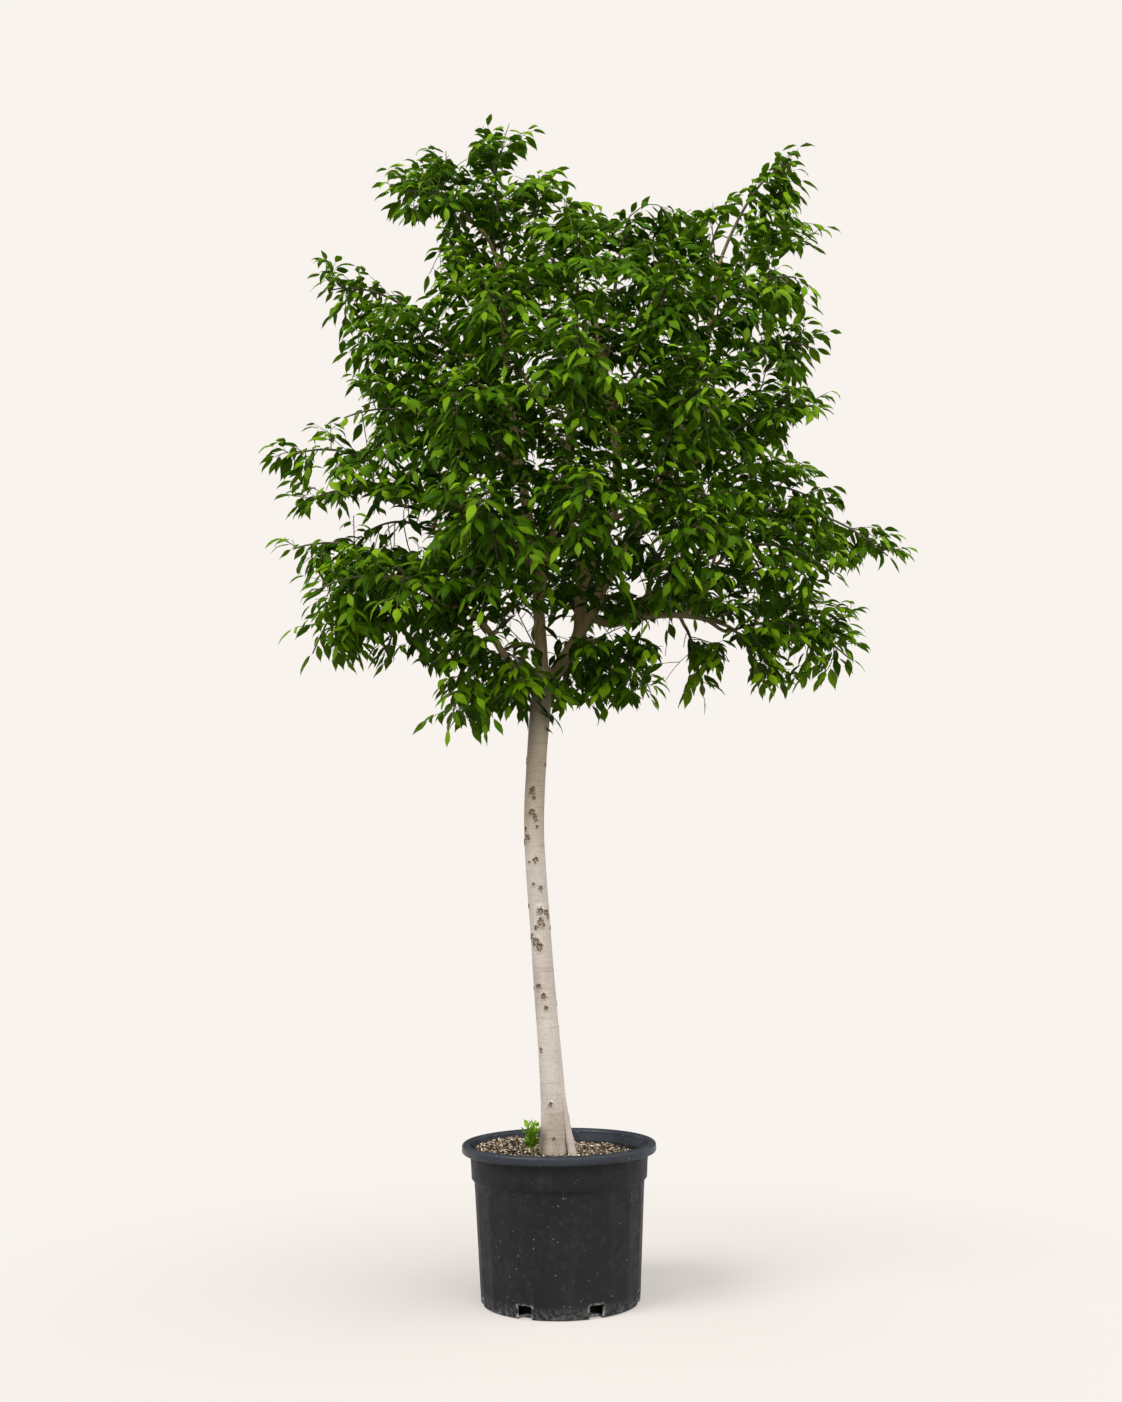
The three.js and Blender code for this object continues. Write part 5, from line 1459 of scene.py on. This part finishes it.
def fill_targets(draw, taken):
    """Evenly strewn points in the outer part of the crown's mass, each with room around it."""
    taken = list(taken)
    for z in np.arange(CROWN[0][0] * MM, CROWN[-1][0] * MM, FILL_STEP):
        for x in np.arange(*FILL_ACROSS, FILL_STEP):
            for y in np.arange(*FILL_DEEP, FILL_STEP):
                place = np.array([x, y, z]) + draw.uniform(-FILL_JITTER, FILL_JITTER, 3)
                if not FILL_FROM < outwardness(place) < FILL_TO or missing(place[None])[0] > FILL_GAP:
                    continue
                if np.linalg.norm(np.array(taken) - place, axis=1).min() > FILL_ROOM:
                    taken.append(place)
                    yield place


def build_fill(paths, taken, leaf, twig):
    """Leafy twigs from the handiest wood to every target, in one piece for each layer of the crown."""
    draw = np.random.default_rng(17)
    spots = []
    for path in paths:
        count = max(round(span(path) / FILL_START_STEP), 3)
        t = np.linspace(*FILL_STARTS, count)
        spots += zip(point_at(path, t), ahead_at(path, t))
    place = np.array([spot[0] for spot in spots])
    ahead = np.array([spot[1] for spot in spots])
    out = np.array([outwardness(spot) for spot in place])
    layers = {}
    targets = [*fill_targets(draw, taken), *(np.array(SPRAYS, float) * MM)]
    for target in targets:
        way = target - place
        length = np.linalg.norm(way, axis=1)
        cost = length * (1 + TURN_COST - TURN_COST * np.sum(way * ahead, axis=1) / length)
        barred = (out > outwardness(target)) | (length < FILL_SHORTEST) | (place[:, 2] < BARE_BELOW)
        cost[barred] += FILL_BARRED
        nearest = int(np.argmin(cost))
        if cost[nearest] > FILL_FARTHEST:
            continue
        start = place[nearest]
        reach = length[nearest]
        bend = start + (0.3 * ahead[nearest] * reach + 0.45 * (target - start)) + UP * (0.16 * reach)
        path = bezier([start, bend, target], TWIG_RADIUS * (1 + 2 * reach), 0.6 * TWIG_RADIUS)
        outer = outwardness(target) > FILL_OUTER
        layers.setdefault(math.floor(target[2] / LAYER), []).append((path, reach, outer))
    for layer, twigs in sorted(layers.items()):
        leafy = Foliage(5000 + layer)
        for number, (path, reach, outer) in enumerate(twigs):
            roll = draw.uniform(-FILL_ROLL, FILL_ROLL)
            shade = 0.3 + 0.2 * draw.uniform()
            green = min(reach, FILL_LEAFY)
            leafy.twig(path, reach, roll, (4, 5), 0.4, shade, outer, reach - green)
            for k in range(FILL_TWIGLETS):
                share = 1 - green / reach * (0.85 - 0.3 * k)
                short, _ = twiglet(path, reach, share, side_of(k), roll, 7000 * layer + 10 * number + k)
                leafy.open_twig(short, span(short), roll, (3, 3), 0.6, shade, outer)
        leafy.piece(f"crown_twigs_{layer}", [leaf, twig], "leaf")


# The stage

BACKDROP = (0.947, 0.896, 0.855)
ROOM_LIGHT = (1.0, 0.985, 0.965)
AMBIENT = 0.16
LAMP_FROM = (0.42, -0.6, 0.68)  # the middle of the wide soft light, high at the front right
LAMP_STRENGTH = 2.5
LAMP_EDGES = (0.5, 0.97)  # cosines of the angles at which the lamp starts and is full
SUNS = [  # name, strength, and in degrees the light's width, its tilt and its turn from the front
    ("key", 2.5, 35, 48, -54), ("left_rim", 0.5, 60, 68, -112), ("right_rim", 0.6, 60, 68, 112),
]
STAGE_RADIUS = 40
STAGE_SIDES = 64
FLOOR_COLOUR = (0.62, 0.58, 0.545)
FLOOR_EDGES = (0.3, 1.7)  # distances from the pot's middle at which the floor starts and ends to fade
FLOOR_GLOW = 0.28  # how much of the backdrop's colour the floor has at the pot


def build_world():
    """The light of a dim room with a wide soft lamp high in front of the plant."""
    world = bpy.data.worlds.new("studio")
    graph = Graph(world, "Generated")
    inputs = {0: graph.place, 1: LAMP_FROM}
    facing = graph.node("ShaderNodeVectorMath", "Value", inputs, operation="DOT_PRODUCT")
    background = graph.nodes["Background"].inputs
    graph.feed(background["Color"], ROOM_LIGHT)
    graph.feed(background["Strength"], graph.faded(facing, LAMP_EDGES, AMBIENT, LAMP_STRENGTH))
    bpy.context.scene.world = world


def stage_piece(name, profile, material):
    """A round stage object. Its profile is drawn in (radius, height)."""
    faces = lathe_faces(len(profile), STAGE_SIDES).tolist()
    obj = mesh_object(name, lathe_points(profile, STAGE_SIDES), faces)
    obj.data.materials.append(material)
    obj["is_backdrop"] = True
    return obj


def build_stage():
    floor = stage_piece("floor", [(AXIS, 0), (STAGE_RADIUS, 0)], floor_material())
    floor.visible_diffuse = False
    dome = stage_piece("backdrop", rounded((0, 0), STAGE_RADIUS, 0, 89.9, 12), backdrop_material())
    dome.visible_diffuse = dome.visible_glossy = dome.visible_transmission = dome.visible_shadow = False
    build_world()
    for name, strength, width, tilt, turn in SUNS:
        sun = bpy.data.lights.new(name, "SUN")
        sun.energy = strength
        sun.angle = math.radians(width)
        linked(name, sun).rotation_euler = (math.radians(tilt), 0, math.radians(turn))
    bpy.context.scene.view_settings.view_transform = "Standard"


def build_camera():
    camera = bpy.data.cameras.new("camera")
    camera.sensor_fit = "VERTICAL"
    camera.sensor_height = SENSOR
    camera.lens = FOCAL_LENGTH * SENSOR / PHOTO_HEIGHT
    ahead = Vector((0, math.cos(CAMERA_PITCH), math.sin(CAMERA_PITCH)))
    right = Vector((1, 0, 0))
    up = right.cross(ahead)
    rolled_right = right * math.cos(CAMERA_ROLL) + up * math.sin(CAMERA_ROLL)
    rolled_up = up * math.cos(CAMERA_ROLL) - right * math.sin(CAMERA_ROLL)
    view = Matrix((rolled_right, rolled_up, -ahead)).transposed().to_4x4()
    view.translation = CAMERA_PLACE
    obj = linked("camera", camera)
    obj.matrix_world = view
    bpy.context.scene.camera = obj


def build_tree():
    leaf = leaf_material("fig_leaf", *FIG_COLOURS)
    young = leaf_material("seedling_leaf", *SEEDLING_COLOURS)
    twig = twig_material()
    bark = bark_material()
    curves = [bough_curve(*ends) for ends in BOUGHS.values()]
    branches = branch_paths(curves)
    build_wood(bark)
    build_air_root(bark)
    build_branches(bark, branches)
    laterals, taken = aim_laterals(curves)
    for number, (name, curve) in enumerate(zip(BOUGHS, curves)):
        build_bough(name, number, curve, laterals[number], leaf, twig)
    leaders = [smooth_path(rows) for rows in LEADERS.values()]
    build_inner_twigs(leaders + branches, leaf, twig)
    build_fill(leaders + branches + curves, taken, leaf, twig)
    build_seedling(young, twig)


build_pot()
build_soil()
build_chips()
build_tree()
build_stage()
build_camera()

boxes = {"cad": CAD_BOX, "visual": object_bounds()}
{name: [list(corner) for corner in box] for name, box in boxes.items()}
